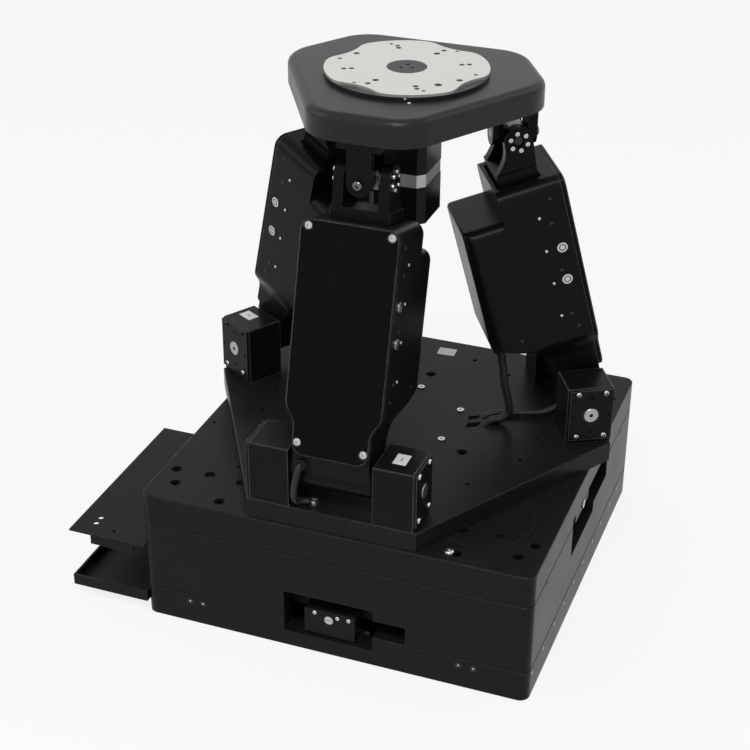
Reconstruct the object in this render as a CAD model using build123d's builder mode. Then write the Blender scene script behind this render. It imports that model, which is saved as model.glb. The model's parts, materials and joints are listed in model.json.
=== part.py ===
from build123d import *
import os
from math import atan2, cos, degrees, hypot, radians, sin, tan

os.makedirs("parts", exist_ok=True)

# Stage stack: base tray, middle frame and top slab, one on the other
stage_side = 400.0
stage_corner_r = 10.0
base_h = 33.5
middle_h = 75.0
slab_h = 33.0
seam = 0.5
stage_wall = 22.0
cavity_depth = 21.5
cavity_corner_r = 26.0
edge_chamfer = 0.8
inner_side = stage_side - 2 * stage_wall
half_side = stage_side / 2
z_middle = base_h + seam
z_middle_top = z_middle + middle_h
z_slab = z_middle_top + seam
z_slab_top = z_slab + slab_h
z_y_floor = base_h - cavity_depth
z_x_floor = z_middle_top - cavity_depth

# Bolt pattern under the base
base_bolt_edge = 25.0
base_bolt_pitch = stage_side - 2 * base_bolt_edge
base_bolt_d = 5.0
base_bolt_depth = 18.0

# Linear guides of one sliding stage
rail_wall_gap = 38.0
rail_end_gap = 3.0
rail_offset = inner_side / 2 - rail_wall_gap
rail_w = 20.0
rail_h = 12.0
rail_l = inner_side - 2 * rail_end_gap
rail_hole_pitch = 50.0
rail_hole_d = 4.5
carriage_w = 44.0
carriage_l = 60.0
carriage_end_gap = 83.0
carriage_y = rail_l / 2 - carriage_end_gap
carriage_lift = 6.0
carriage_gap = 0.3
track_w = 70.0
track_t = 2.0
magnet_w = 60.0
magnet_l = 18.0
magnet_t = 3.0
magnet_pitch = 25.0
magnet_count = int(rail_l // magnet_pitch)
coil_w = 58.0
coil_end_gap = 90.0
coil_l = rail_l - 2 * coil_end_gap
coil_gap = 1.0
coil_rib_pitch = 14.0
coil_rib_d = 1.5
level_h = cavity_depth + seam

# Windows in the stage walls and the end blocks in them
front_window_x = (-49.0, 44.0)
front_window_z = (17.5, 65.0)
front_step_x = 77.0
front_step_z = 54.0
side_window_y = (-55.0, 34.0)
side_window_z = (72.0, 117.0)
side_step_y = 88.0
side_step_z = 83.0
window_depth = 26.0
end_block_set_back = 4.0
end_block_t = window_depth - end_block_set_back
end_block_tongue = 8.0
front_block_x = (-28.5, 23.5)
front_block_z = (20.0, 48.0)
side_block_y = (-27.0, 25.0)
side_block_z = (94.0, 112.0)
lock_pin_d = 9.0
lock_pin_l = 12.0
lock_pin_fit = 0.05
lock_pin_proud = 2.0
front_pin = (-2.4, 40.3)
side_pin = (-2.4, 103.0)

# Cable trays on the left side
tray_t = 2.0
tray_w = 84.0
tray_l = 212.0
upper_tray_z = 80.0
upper_tray_lip = 12.0
upper_tray_notch = 24.0
lower_tray_z = 12.0
lower_tray_lip = 12.0
tray_hole_d = 6.0
tray_holes = ((20.0, 20.0), (20.0, 30.0), (44.0, 12.0))

# Round covers and bolt holes in the slab
cover_edges = (74.0, 81.0)
cover_x = half_side - cover_edges[0]
cover_y = half_side - cover_edges[1]
cover_d = 100.0
cover_t = 3.0
cover_gap = 0.3
bolt_d = 6.6
bolt_head_d = 11.0
bolt_head_depth = 6.5
slab_bolt_edges = ((14.0, 53.0), (24.0, 30.0), (79.0, 15.0))
slab_pin_edge = 10.0
slab_pin_y = 51.0
slab_pin_d = 4.0
cover_bolts = ((0.0, 0.0), (24.0, 26.0), (-11.0, 28.0))

# Three-cornered plate that carries the legs
leg_angles = (-90.0, 30.0, 150.0)
plate_reach = 198.0
plate_half_w = 85.0
plate_t = 21.0
z_plate_top = z_slab_top + plate_t
hub_cover_d = 138.0
hub_cover_t = 3.0
hub_screw_r = 62.0
hub_screw_count = 6
hub_screw_sink = 1.6
plate_bolt_r = 93.0
plate_bolt_turn = 60.0
plate_small_r = 144.0
plate_small_d = 5.0
plate_small_turns = (-27.0, 27.0, 46.0, 74.0)

# Hinge at the foot of each leg
hinge_set_in = 22.5
hinge_r = plate_reach - hinge_set_in
hinge_rise = 33.5
hinge_z = z_plate_top + hinge_rise
post_depth = 46.5
post_inner_face = 42.0
post_h = 62.5
post_cap_t = 3.0
post_cap_w = 44.0
post_cap_h = 56.0
post_screw_dr = 14.0
post_screw_dz = 24.0
post_screw_d = 4.0
post_screw_l = 12.0
shaft_d = 15.0
shaft_fit = 0.05
shaft_proud = 0.8
shaft_tap_d = 4.0
bush_d = 24.0
bush_flange_d = 30.0
bush_flange_t = 2.5
cap_bore_gap = 0.5

# Universal joint at the head of each leg
joint_r = 103.0
joint_z = 468.0
lean = degrees(atan2(hinge_r - joint_r, joint_z - hinge_z))
leg_l = hypot(hinge_r - joint_r, joint_z - hinge_z)

# Leg housing, in the leg's own frame: hinge at the origin, z up the leg, y outward
leg_half_w = 47.5
foot_half_w = 38.0
neck_low = 46.0
neck_high = 72.0
leg_front = 26.6
leg_cover_t = 5.0
leg_top = 241.5
leg_back = -35.0
bulge_back = -75.0
bulge_top = 210.5
bulge_low = 75.0
foot_r = 17.0
foot_front_z = 20.5
leg_edge_r = 12.0
bulge_edge_r = 4.0
leg_wall = 8.0
leg_cover_chamfer = 1.0
foot_back_z = 36.0
foot_slope_y = -34.0
foot_slope_z = 64.0
bulge_low_y = -60.0
bulge_low_rise = 7.0
bulge_floor = 84.0
hinge_boss_d = 30.0
hinge_boss_t = 1.2
throat_half_w = 31.0
throat_back = -31.0
throat_front = 13.0

# Cover screws of a leg
cover_screw_d = 4.0
cover_screw_head_d = 7.4
cover_screw_head_h = 3.0
cover_screw_hex = 3.0
cover_screw_l = 14.0
cover_screw_sink = 2.4
cover_screw_gap = 0.3
cover_screw_top = (39.8, 234.6)
cover_screw_low = (32.6, 32.7)

# Drive inside a leg
leg_travel = 8.0
leg_motor_side = 35.0
leg_motor_l = 90.0
leg_motor_shaft_d = 6.0
pulley_d = 20.0
belt_w = 9.0
belt_t = 1.5
belt_gap = 0.05
belt_rise = 3.0
rod_x = 20.0
rod_d = 10.0
rod_top = 236.0
rod_fit = 0.1
leg_screw_d = 12.0
leg_screw_y = -8.0
leg_nut_d = 24.0
drive_gap = 0.4

# Yoke that slides out of the leg's head
yoke_half_w = 29.0
yoke_back = -29.0
yoke_front = 11.0
yoke_fork_depth = 28.5
yoke_ram_l = 56.0
yoke_bridge = leg_l - yoke_fork_depth
yoke_foot = yoke_bridge - yoke_ram_l
arm_in = 17.0
arm_out = 27.0
arm_r = 14.0
yoke_ring_r = 8.5
yoke_ring_count = 6
yoke_ring_turn = 30.0
yoke_ring_screw_d = 2.5
yoke_ring_screw_l = 4.0

# Cross, pins and washers of the universal joint
cross_half = 10.0
cross_half_w = 14.4
cross_cut = 3.0
yoke_pin_d = 8.0
yoke_pin_gap = 0.2
open_pivot_gap = 1.0
washer_gap = 0.3
yoke_pin_end = 25.5
washer_d = 19.0
washer_t = 1.4
clevis_pin_d = 8.0
pin_fit = 0.05
clevis_pin_head_d = 8.8
clevis_pin_head_h = 3.5
clevis_pin_hex = 4.0
clevis_head_gap = 0.3
loose_washer_leg = 2
clevis_washer_d = 17.0
clevis_washer_t = 1.4
clevis_washer_gap = 0.4

# Clevis under the platform
clevis_half_w = 11.5
clevis_t = 9.5
clevis_foot_t = 6.0
clevis_foot_half_w = 21.0

# Platform
z_platform = 506.0
platform_t = 25.5
platform_side = 103.5
platform_corner = 125.0
platform_corner_r = 42.0
platform_edge_r = 8.0
z_platform_top = z_platform + platform_t

# Rotary drive under and in the platform
motor_side = 57.0
motor_cut = 7.0
motor_bottom = 393.0
band_low = 430.0
band_high = 443.0
band_inset = 0.4
drive_bore_d = 60.0
bearing_d = 130.0
bearing_hole_d = 96.0
bearing_depth = 14.0
spindle_gap = 0.6
spindle_fit = 0.05

# Rotary table
table_r = 77.0
table_gap = 0.3
flange_t = 3.2
hub_r = 18.5
hub_gap = 0.3
table_plate_t = 2.5
table_flat = 67.5
table_bite_r = 55.0
table_lobe_r = 22.0
table_turn = -18.0
table_hole_pairs = (
    (60.0, 0.0, 6.0),
    (66.3, 19.0, 4.0),
    (67.4, -39.7, 3.8),
    (61.0, -44.0, 5.0),
    (54.5, -44.0, 5.4),
    (58.5, 45.0, 5.0),
    (51.4, 45.0, 5.0),
    (58.8, 91.0, 5.2),
    (47.5, 91.0, 6.2),
    (65.8, 81.2, 3.6),
)
table_single_hole = (56.7, -22.7, 7.0)
hub_hole_r = 6.0
hub_hole_d = 3.4

# Cables between the legs and the plate, and their glands
bend_share = 0.45
motor_cable_d = 8.0
motor_gland = (30.0, -66.0)
motor_gland_gap = 1.1
motor_slot_x = 30.0
motor_cable_drop = 24.0
motor_cable_sink = 2.0
sensor_cable_d = 6.0
sensor_gland_x = 25.0
sensor_gland_turn = -135.0
sensor_gland_gap = 0.5
sensor_slot_x = 16.0
cable_slot_in = 57.0
cable_slot_out = 97.0
cable_slot_depth = 12.5
cable_slot_gap = 0.5
cable_slot_stop = 61.0
cable_slot_knee = 72.5
cable_slot_lip = 88.0
cable_lift = 0.5
earth_wire_d = 6.4
earth_gland = (30.0, 9.0)
earth_gland_gap = 0.6
earth_wire_out = 9.0
earth_screw_out = 11.0
earth_screw = (20.5, hinge_r + earth_screw_out)
earth_screw_d = 5.0
earth_screw_head_d = 8.5
earth_screw_head_h = 5.0
lug_d = 10.0
lug_t = 1.5
gland_depth = 5.0

# Bends of the cables: across, outward from the hinge line, up from the plate
motor_bends = ((31.5, -76.5, 47.5), (32.5, -71.0, 26.5), (32.5, -69.5, 12.5), (31.5, -77.5, 5.0))
sensor_bends = ((24.5, -29.5, 4.0), (20.5, -51.5, 3.6), (17.5, -71.5, 3.4))
earth_bends = ((33.0, 28.0, 31.5), (36.0, 24.5, 15.5), (36.0, 19.0, 5.5), (32.0, 14.0, 3.5))


# Frame of one leg station: origin on the centre line, y outward, z up
def station_frame(angle):
    across = (sin(radians(angle)), -cos(radians(angle)), 0)
    return Plane(origin=(0, 0, 0), x_dir=across, z_dir=(0, 0, 1))


# Frame of one leaning leg: origin at its hinge, y outward, z up the leg
def leg_frame(angle):
    outward = Vector(cos(radians(angle)), sin(radians(angle)), 0)
    across = Vector(sin(radians(angle)), -cos(radians(angle)), 0)
    up = outward * -sin(radians(lean)) + Vector(0, 0, 1) * cos(radians(lean))
    hinge = outward * hinge_r + Vector(0, 0, hinge_z)
    return Plane(origin=hinge, x_dir=across, z_dir=up)


# Station coordinates of a point given in the leg's own frame
def on_leg(x, y, z):
    slope = radians(lean)
    return (x, hinge_r + y * cos(slope) - z * sin(slope), hinge_z + y * sin(slope) + z * cos(slope))


# Frame of one universal joint: origin at its centre, y outward, z up
def joint_frame(angle):
    frame = station_frame(angle)
    centre = frame.from_local_coords((0, joint_r, joint_z))
    return Plane(origin=centre, x_dir=frame.x_dir, z_dir=(0, 0, 1))


# Write one finished piece under its name
def save(piece, name):
    piece.label = name
    export_step(piece, f"parts/{name}.step")


# Copies of some pieces at all three leg stations, joined in one group
def at_stations(frame_of, *pieces):
    placed = []
    for angle in leg_angles:
        placed += [frame_of(angle).location * piece for piece in pieces]
    return Compound(children=placed)


# Base tray with a deep well for the lower guides
with BuildPart() as base_frame:
    with BuildSketch():
        RectangleRounded(stage_side, stage_side, stage_corner_r)
    extrude(amount=base_h)
    chamfer(base_frame.edges().group_by(Axis.Z)[0], length=edge_chamfer)
    chamfer(base_frame.edges().group_by(Axis.Z)[-1], length=edge_chamfer)
    with BuildSketch(Plane.XY.offset(z_y_floor)):
        RectangleRounded(inner_side, inner_side, cavity_corner_r)
    extrude(amount=cavity_depth, mode=Mode.SUBTRACT)
    with BuildSketch(Plane.XY.offset(front_window_z[0])):
        with Locations(((front_window_x[0] + front_window_x[1]) / 2, -half_side)):
            Rectangle(front_window_x[1] - front_window_x[0], 2 * window_depth)
    extrude(amount=base_h, mode=Mode.SUBTRACT)
    with Locations(Plane.XY.rotated((180, 0, 0))):
        with GridLocations(base_bolt_pitch, base_bolt_pitch, 2, 2):
            Hole(base_bolt_d / 2, depth=base_bolt_depth)
save(base_frame.part, "base_frame")


# Two rails of one level, standing on its floor
def guide_rails(level):
    with BuildPart() as rails:
        with BuildSketch(level):
            with GridLocations(2 * rail_offset, 0, 2, 1):
                Rectangle(rail_w, rail_l)
        extrude(amount=rail_h)
        chamfer(rails.edges().group_by(Axis.Z)[-1], length=edge_chamfer)
        with Locations(level.offset(rail_h)):
            with GridLocations(2 * rail_offset, rail_hole_pitch, 2, int(rail_l // rail_hole_pitch)):
                Hole(rail_hole_d / 2, depth=rail_h)
    return rails.part


# Four carriages that straddle the rails and carry the next level
def guide_carriages(level):
    with BuildPart() as carriages:
        with BuildSketch(level.offset(carriage_lift)):
            with GridLocations(2 * rail_offset, 2 * carriage_y, 2, 2):
                Rectangle(carriage_w, carriage_l)
        extrude(amount=level_h - carriage_lift)
        chamfer(carriages.edges().group_by(Axis.Z)[0], length=edge_chamfer)
        with BuildSketch(level.offset(carriage_lift)):
            with GridLocations(2 * rail_offset, 0, 2, 1):
                Rectangle(rail_w + 2 * carriage_gap, stage_side)
        extrude(amount=rail_h + carriage_gap - carriage_lift, mode=Mode.SUBTRACT)
    return carriages.part


# Magnet track of the linear motor: a steel plate with a row of magnets
def magnet_track(level):
    with BuildPart() as track:
        with BuildSketch(level):
            Rectangle(track_w, rail_l)
        extrude(amount=track_t)
        with BuildSketch(level.offset(track_t)):
            with GridLocations(0, magnet_pitch, 1, magnet_count):
                Rectangle(magnet_w, magnet_l)
        extrude(amount=magnet_t)
    return track.part


# Coil block of the linear motor, ribbed on its sides
def motor_coil(level):
    bottom = track_t + magnet_t + coil_gap
    with BuildPart() as coil:
        with BuildSketch(level.offset(bottom)):
            Rectangle(coil_w, coil_l)
        extrude(amount=level_h - bottom)
        with BuildSketch(level.offset(bottom)):
            with GridLocations(coil_w, coil_rib_pitch, 2, int(coil_l // coil_rib_pitch)):
                Rectangle(2 * coil_rib_d, coil_rib_pitch / 2)
        extrude(amount=level_h - bottom - edge_chamfer, mode=Mode.SUBTRACT)
    return coil.part


y_level = Plane(origin=(0, 0, z_y_floor), x_dir=(1, 0, 0), z_dir=(0, 0, 1))
x_level = Plane(origin=(0, 0, z_x_floor), x_dir=(0, -1, 0), z_dir=(0, 0, 1))
save(guide_rails(y_level), "y_rails")
save(guide_rails(x_level), "x_rails")
save(guide_carriages(y_level), "y_carriages")
save(guide_carriages(x_level), "x_carriages")
save(magnet_track(y_level), "y_magnet_track")
save(magnet_track(x_level), "x_magnet_track")
save(motor_coil(y_level), "y_motor_coil")
save(motor_coil(x_level), "x_motor_coil")

# Middle frame: a block with the upper guide well, a front window and a side window
with BuildPart() as middle_frame:
    with BuildSketch(Plane.XY.offset(z_middle)):
        RectangleRounded(stage_side, stage_side, stage_corner_r)
    extrude(amount=middle_h)
    chamfer(middle_frame.edges().group_by(Axis.Z)[0], length=edge_chamfer)
    chamfer(middle_frame.edges().group_by(Axis.Z)[-1], length=edge_chamfer)
    with BuildSketch(Plane.XY.offset(z_x_floor)):
        RectangleRounded(inner_side, inner_side, cavity_corner_r)
    extrude(amount=cavity_depth, mode=Mode.SUBTRACT)
    with BuildSketch(Plane.XZ.offset(half_side)):
        with BuildLine():
            Polyline(
                (front_window_x[0], z_middle),
                (front_window_x[0], front_window_z[1]),
                (front_window_x[1], front_window_z[1]),
                (front_window_x[1], front_step_z),
                (front_step_x, front_step_z),
                (front_step_x, z_middle),
                close=True,
            )
        make_face()
    extrude(amount=-window_depth, mode=Mode.SUBTRACT)
    with BuildSketch(Plane.YZ.offset(half_side)):
        with BuildLine():
            Polyline(
                (side_window_y[0], z_middle_top),
                (side_window_y[0], side_window_z[0]),
                (side_window_y[1], side_window_z[0]),
                (side_window_y[1], side_step_z),
                (side_step_y, side_step_z),
                (side_step_y, z_middle_top),
                close=True,
            )
        make_face()
    extrude(amount=-window_depth, mode=Mode.SUBTRACT)
save(middle_frame.part, "middle_frame")

# End block on the back of the front window, with its lock pin bore
front_block_face = Plane.XZ.offset(half_side - end_block_set_back)
with BuildPart() as y_end_block:
    with BuildSketch(front_block_face):
        with Locations((sum(front_block_x) / 2, sum(front_block_z) / 2)):
            RectangleRounded(
                front_block_x[1] - front_block_x[0],
                front_block_z[1] - front_block_z[0],
                edge_chamfer,
            )
    extrude(amount=-end_block_t)
    with BuildSketch(front_block_face):
        with Locations(front_pin):
            Circle(lock_pin_d / 2 + lock_pin_fit)
    extrude(amount=-lock_pin_l, mode=Mode.SUBTRACT)
save(y_end_block.part, "y_end_block")

# Lock pin of the lower stage, with a screwdriver slot
with BuildPart() as y_lock_pin:
    with BuildSketch(front_block_face.offset(lock_pin_proud)):
        with Locations(front_pin):
            Circle(lock_pin_d / 2)
    extrude(amount=-(lock_pin_l + lock_pin_proud))
    with BuildSketch(front_block_face.offset(lock_pin_proud)):
        with Locations(front_pin):
            Rectangle(lock_pin_d * 2, edge_chamfer)
    extrude(amount=-edge_chamfer, mode=Mode.SUBTRACT)
save(y_lock_pin.part, "y_lock_pin")

# End block under the slab, seen in the side window, hung by a tongue behind it
side_block_face = Plane.YZ.offset(half_side - end_block_set_back)
with BuildPart() as x_end_block:
    with BuildSketch(side_block_face):
        with Locations((sum(side_block_y) / 2, sum(side_block_z) / 2)):
            RectangleRounded(
                side_block_y[1] - side_block_y[0],
                side_block_z[1] - side_block_z[0],
                edge_chamfer,
            )
    extrude(amount=-end_block_t)
    with BuildSketch(side_block_face.offset(-end_block_t)):
        with Locations((side_block_y[0], side_pin[1])):
            Rectangle(
                side_block_y[1] - side_block_y[0],
                side_window_z[1] - side_pin[1],
                align=(Align.MIN, Align.MIN),
            )
    extrude(amount=end_block_tongue)
    with BuildSketch(side_block_face):
        with Locations(side_pin):
            Circle(lock_pin_d / 2 + lock_pin_fit)
    extrude(amount=-lock_pin_l, mode=Mode.SUBTRACT)
save(x_end_block.part, "x_end_block")

# Lock pin of the upper stage
with BuildPart() as x_lock_pin:
    with BuildSketch(side_block_face.offset(lock_pin_proud)):
        with Locations(side_pin):
            Circle(lock_pin_d / 2)
    extrude(amount=-(lock_pin_l + lock_pin_proud))
    with BuildSketch(side_block_face.offset(lock_pin_proud)):
        with Locations(side_pin):
            Rectangle(lock_pin_d * 2, edge_chamfer)
    extrude(amount=-edge_chamfer, mode=Mode.SUBTRACT)
save(x_lock_pin.part, "x_lock_pin")

# Upper cable tray: a folded sheet on the left side, lips turned down
tray_x = -half_side - tray_w
with BuildPart() as upper_cable_tray:
    with BuildSketch(Plane.XY.offset(upper_tray_z - upper_tray_lip)):
        with Locations((tray_x, -half_side)):
            Rectangle(tray_w, tray_l, align=(Align.MIN, Align.MIN))
    extrude(amount=upper_tray_lip)
    with BuildSketch(Plane.XY.offset(upper_tray_z - upper_tray_lip)):
        with Locations((tray_x + tray_t, -half_side + tray_t)):
            Rectangle(tray_w - 2 * tray_t, tray_l - tray_t, align=(Align.MIN, Align.MIN))
    extrude(amount=upper_tray_lip - tray_t, mode=Mode.SUBTRACT)
    with BuildSketch(Plane.XY.offset(upper_tray_z - upper_tray_lip)):
        with Locations((tray_x, -half_side)):
            Rectangle(upper_tray_notch, upper_tray_notch, align=(Align.MIN, Align.MIN))
        with Locations((tray_x + tray_w, -half_side)):
            Rectangle(upper_tray_notch / 2, upper_tray_notch / 2, align=(Align.MAX, Align.MIN))
    extrude(amount=upper_tray_lip - tray_t, mode=Mode.SUBTRACT)
    with Locations(Plane.XY.offset(upper_tray_z)):
        with Locations((tray_x, -half_side)):
            with Locations(*tray_holes):
                Hole(tray_hole_d / 2, depth=tray_t)
save(upper_cable_tray.part, "upper_cable_tray")

# Lower cable tray: the same sheet with its lips turned up
with BuildPart() as lower_cable_tray:
    with BuildSketch(Plane.XY.offset(lower_tray_z)):
        with Locations((tray_x, -half_side)):
            Rectangle(tray_w, tray_l, align=(Align.MIN, Align.MIN))
    extrude(amount=lower_tray_lip)
    with BuildSketch(Plane.XY.offset(lower_tray_z + tray_t)):
        with Locations((tray_x + tray_t, -half_side + tray_t)):
            Rectangle(tray_w - 2 * tray_t, tray_l - tray_t, align=(Align.MIN, Align.MIN))
    extrude(amount=lower_tray_lip, mode=Mode.SUBTRACT)
save(lower_cable_tray.part, "lower_cable_tray")

# Top slab with four round wells for the covers and counterbored bolt holes
with BuildPart() as top_slab:
    with BuildSketch(Plane.XY.offset(z_slab)):
        RectangleRounded(stage_side, stage_side, stage_corner_r)
    extrude(amount=slab_h)
    chamfer(top_slab.edges().group_by(Axis.Z)[0], length=edge_chamfer)
    chamfer(top_slab.edges().group_by(Axis.Z)[-1], length=edge_chamfer)
    with BuildSketch(Plane.XY.offset(z_slab_top)):
        with GridLocations(2 * cover_x, 2 * cover_y, 2, 2):
            Circle(cover_d / 2)
    extrude(amount=-cover_t, mode=Mode.SUBTRACT)
    with Locations(Plane.XY.offset(z_slab_top)):
        for edge_x, edge_y in slab_bolt_edges:
            with GridLocations(stage_side - 2 * edge_x, stage_side - 2 * edge_y, 2, 2):
                CounterBoreHole(bolt_d / 2, bolt_head_d / 2, bolt_head_depth, depth=slab_h)
        with GridLocations(stage_side - 2 * slab_pin_edge, 2 * slab_pin_y, 2, 2):
            Hole(slab_pin_d / 2, depth=slab_h / 2)
    with BuildSketch(Plane.YZ.offset(half_side)):
        with Locations((side_window_y[0], z_slab)):
            Rectangle(
                side_step_y - side_window_y[0],
                side_window_z[1] - z_slab,
                align=(Align.MIN, Align.MIN),
            )
    extrude(amount=-window_depth, mode=Mode.SUBTRACT)
save(top_slab.part, "top_slab")

# Four round covers, flush with the slab
with BuildPart() as slab_covers:
    with BuildSketch(Plane.XY.offset(z_slab_top - cover_t)):
        with GridLocations(2 * cover_x, 2 * cover_y, 2, 2):
            Circle(cover_d / 2 - cover_gap)
        for bolt_x, bolt_y in cover_bolts:
            with GridLocations(2 * (cover_x + bolt_x), 2 * (cover_y + bolt_y), 2, 2):
                Circle(bolt_head_d / 2, mode=Mode.SUBTRACT)
    extrude(amount=cover_t)
save(slab_covers.part, "slab_covers")

# Places in the plan of what repeats at the three stations
def station_places(x, y):
    corners = [station_frame(angle).from_local_coords((x, y, 0)) for angle in leg_angles]
    return [(corner.X, corner.Y) for corner in corners]


earth_screw_places = station_places(*earth_screw)

# Three-cornered plate: one short side in front of each leg
plate_corners = []
for angle in leg_angles:
    station = station_frame(angle)
    plate_corners.append(station.from_local_coords((plate_half_w, plate_reach, 0)))
    plate_corners.append(station.from_local_coords((-plate_half_w, plate_reach, 0)))
with BuildPart() as tripod_plate:
    with BuildSketch(Plane.XY.offset(z_slab_top)):
        Polygon(*[(corner.X, corner.Y) for corner in plate_corners], align=None)
    extrude(amount=plate_t)
    chamfer(tripod_plate.edges().group_by(Axis.Z)[-1], length=edge_chamfer)
    with BuildSketch(Plane.XY.offset(z_plate_top)):
        Circle(hub_cover_d / 2)
    extrude(amount=-hub_cover_t, mode=Mode.SUBTRACT)
    with Locations(Plane.XY.offset(z_plate_top)):
        with PolarLocations(plate_bolt_r, 3, start_angle=leg_angles[1] + plate_bolt_turn):
            CounterBoreHole(bolt_d / 2, bolt_head_d / 2, bolt_head_depth, depth=plate_t)
        for turn in plate_small_turns:
            with PolarLocations(plate_small_r, 3, start_angle=leg_angles[1] + turn):
                Hole(plate_small_d / 2, depth=plate_t / 2)
        with Locations(*earth_screw_places):
            Hole(earth_screw_d / 2 + cover_gap, depth=plate_t / 2)
    with BuildSketch(*[station_frame(angle).offset(z_plate_top) for angle in leg_angles]):
        with Locations((motor_slot_x, (cable_slot_in + cable_slot_out) / 2)):
            SlotOverall(cable_slot_out - cable_slot_in, motor_cable_d + 2 * cable_slot_gap, rotation=90)
        with Locations((sensor_slot_x, (cable_slot_in + cable_slot_out) / 2)):
            SlotOverall(cable_slot_out - cable_slot_in, sensor_cable_d + 2 * cable_slot_gap, rotation=90)
    extrude(amount=-cable_slot_depth, mode=Mode.SUBTRACT)
save(tripod_plate.part, "tripod_plate")

# Round cover over the hub of the plate
with BuildPart() as centre_cover:
    with BuildSketch(Plane.XY.offset(z_plate_top - hub_cover_t)):
        Circle(hub_cover_d / 2 - cover_gap)
    extrude(amount=hub_cover_t)
    with Locations(Plane.XY.offset(z_plate_top)):
        with PolarLocations(hub_screw_r, hub_screw_count, start_angle=leg_angles[1]):
            CounterBoreHole(
                cover_screw_d / 2 + cover_gap,
                cover_screw_head_d / 2 + cover_gap,
                hub_screw_sink,
                depth=hub_cover_t,
            )
save(centre_cover.part, "centre_cover")

# Cap screws of the hub cover and the three earth screws
with BuildPart() as plate_screws:
    with BuildSketch(Plane.XY.offset(z_plate_top + lug_t)):
        with Locations(*earth_screw_places):
            Circle(earth_screw_head_d / 2)
    extrude(amount=earth_screw_head_h)
    with BuildSketch(Plane.XY.offset(z_plate_top + lug_t + earth_screw_head_h)):
        with Locations(*earth_screw_places):
            RegularPolygon(earth_screw_d / 2, 6)
    extrude(amount=-earth_screw_head_h / 2, mode=Mode.SUBTRACT)
    with BuildSketch(Plane.XY.offset(z_plate_top + lug_t)):
        with Locations(*earth_screw_places):
            Circle(earth_screw_d / 2)
    extrude(amount=-(lug_t + plate_t / 3))
    with BuildSketch(Plane.XY.offset(z_plate_top - hub_screw_sink)):
        with PolarLocations(hub_screw_r, hub_screw_count, start_angle=leg_angles[1]):
            Circle(cover_screw_head_d / 2)
    extrude(amount=cover_screw_head_h)
    with BuildSketch(Plane.XY.offset(z_plate_top - hub_screw_sink)):
        with PolarLocations(hub_screw_r, hub_screw_count, start_angle=leg_angles[1]):
            Circle(cover_screw_d / 2)
    extrude(amount=-(hub_cover_t - hub_screw_sink))
    with BuildSketch(Plane.XY.offset(z_plate_top - hub_screw_sink + cover_screw_head_h)):
        with PolarLocations(hub_screw_r, hub_screw_count, start_angle=leg_angles[1]):
            RegularPolygon(cover_screw_hex / 2, 6)
    extrude(amount=-cover_screw_head_h / 2, mode=Mode.SUBTRACT)
save(plate_screws.part, "plate_screws")

# Pair of hinge posts of one leg
post_outer_face = plate_half_w - post_cap_t
post_w = post_outer_face - post_inner_face
with BuildPart() as hinge_post_pair:
    with BuildSketch(Plane.XY.offset(z_plate_top)):
        with Locations((0, plate_reach - post_depth / 2)):
            with GridLocations(post_inner_face + post_outer_face, 0, 2, 1):
                Rectangle(post_w, post_depth)
    extrude(amount=post_h)
    chamfer(hinge_post_pair.edges().group_by(Axis.Z)[-1], length=edge_chamfer)
    with BuildSketch(Plane.YZ.offset(-plate_half_w)):
        with Locations((hinge_r, hinge_z)):
            Circle(bush_d / 2)
    extrude(amount=2 * plate_half_w, mode=Mode.SUBTRACT)
    with BuildSketch(Plane.YZ.offset(-post_outer_face), Plane.YZ.offset(post_outer_face - post_screw_l)):
        with Locations((hinge_r, hinge_z)):
            with GridLocations(2 * post_screw_dr, 2 * post_screw_dz, 2, 2):
                Circle(post_screw_d / 2)
    extrude(amount=post_screw_l, mode=Mode.SUBTRACT)
save(at_stations(station_frame, hinge_post_pair.part), "hinge_posts")

# Pair of end caps on the outer faces of the posts
with BuildPart() as hinge_cap_pair:
    with BuildSketch(Plane.YZ.offset(-plate_half_w)):
        with Locations((hinge_r, hinge_z)):
            RectangleRounded(post_cap_w, post_cap_h, edge_chamfer)
            Circle(shaft_d / 2 + cap_bore_gap, mode=Mode.SUBTRACT)
            with GridLocations(2 * post_screw_dr, 2 * post_screw_dz, 2, 2):
                Circle(post_screw_d / 2, mode=Mode.SUBTRACT)
    extrude(amount=post_cap_t)
    mirror(about=Plane.YZ)
save(at_stations(station_frame, hinge_cap_pair.part), "hinge_caps")

# Flanged bushes in the posts, flange towards the leg
with BuildPart() as hinge_bush_pair:
    with BuildSketch(Plane.YZ.offset(-post_outer_face)):
        with Locations((hinge_r, hinge_z)):
            Circle(bush_d / 2)
            Circle(shaft_d / 2 + shaft_fit, mode=Mode.SUBTRACT)
    extrude(amount=post_w)
    with BuildSketch(Plane.YZ.offset(-post_inner_face)):
        with Locations((hinge_r, hinge_z)):
            Circle(bush_flange_d / 2)
            Circle(shaft_d / 2 + shaft_fit, mode=Mode.SUBTRACT)
    extrude(amount=bush_flange_t)
    mirror(about=Plane.YZ)
save(at_stations(station_frame, hinge_bush_pair.part), "hinge_bushes")


# Face of a leg seen from outside: wide body, drawn in to a narrower foot
def leg_face(bottom):
    head = ((0, leg_top), (leg_half_w, leg_top), (leg_half_w, neck_high))
    foot = ((foot_half_w, neck_low), (foot_half_w, bottom), (0, bottom))
    with BuildSketch(Plane.XZ) as face:
        with BuildLine():
            FilletPolyline(*head, radius=leg_edge_r)
            Spline(head[-1], foot[0], tangents=((0, -1), (0, -1)))
            FilletPolyline(*foot, radius=leg_edge_r)
            mirror(about=Plane.YZ)
        make_face()
    return face.sketch


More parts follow.
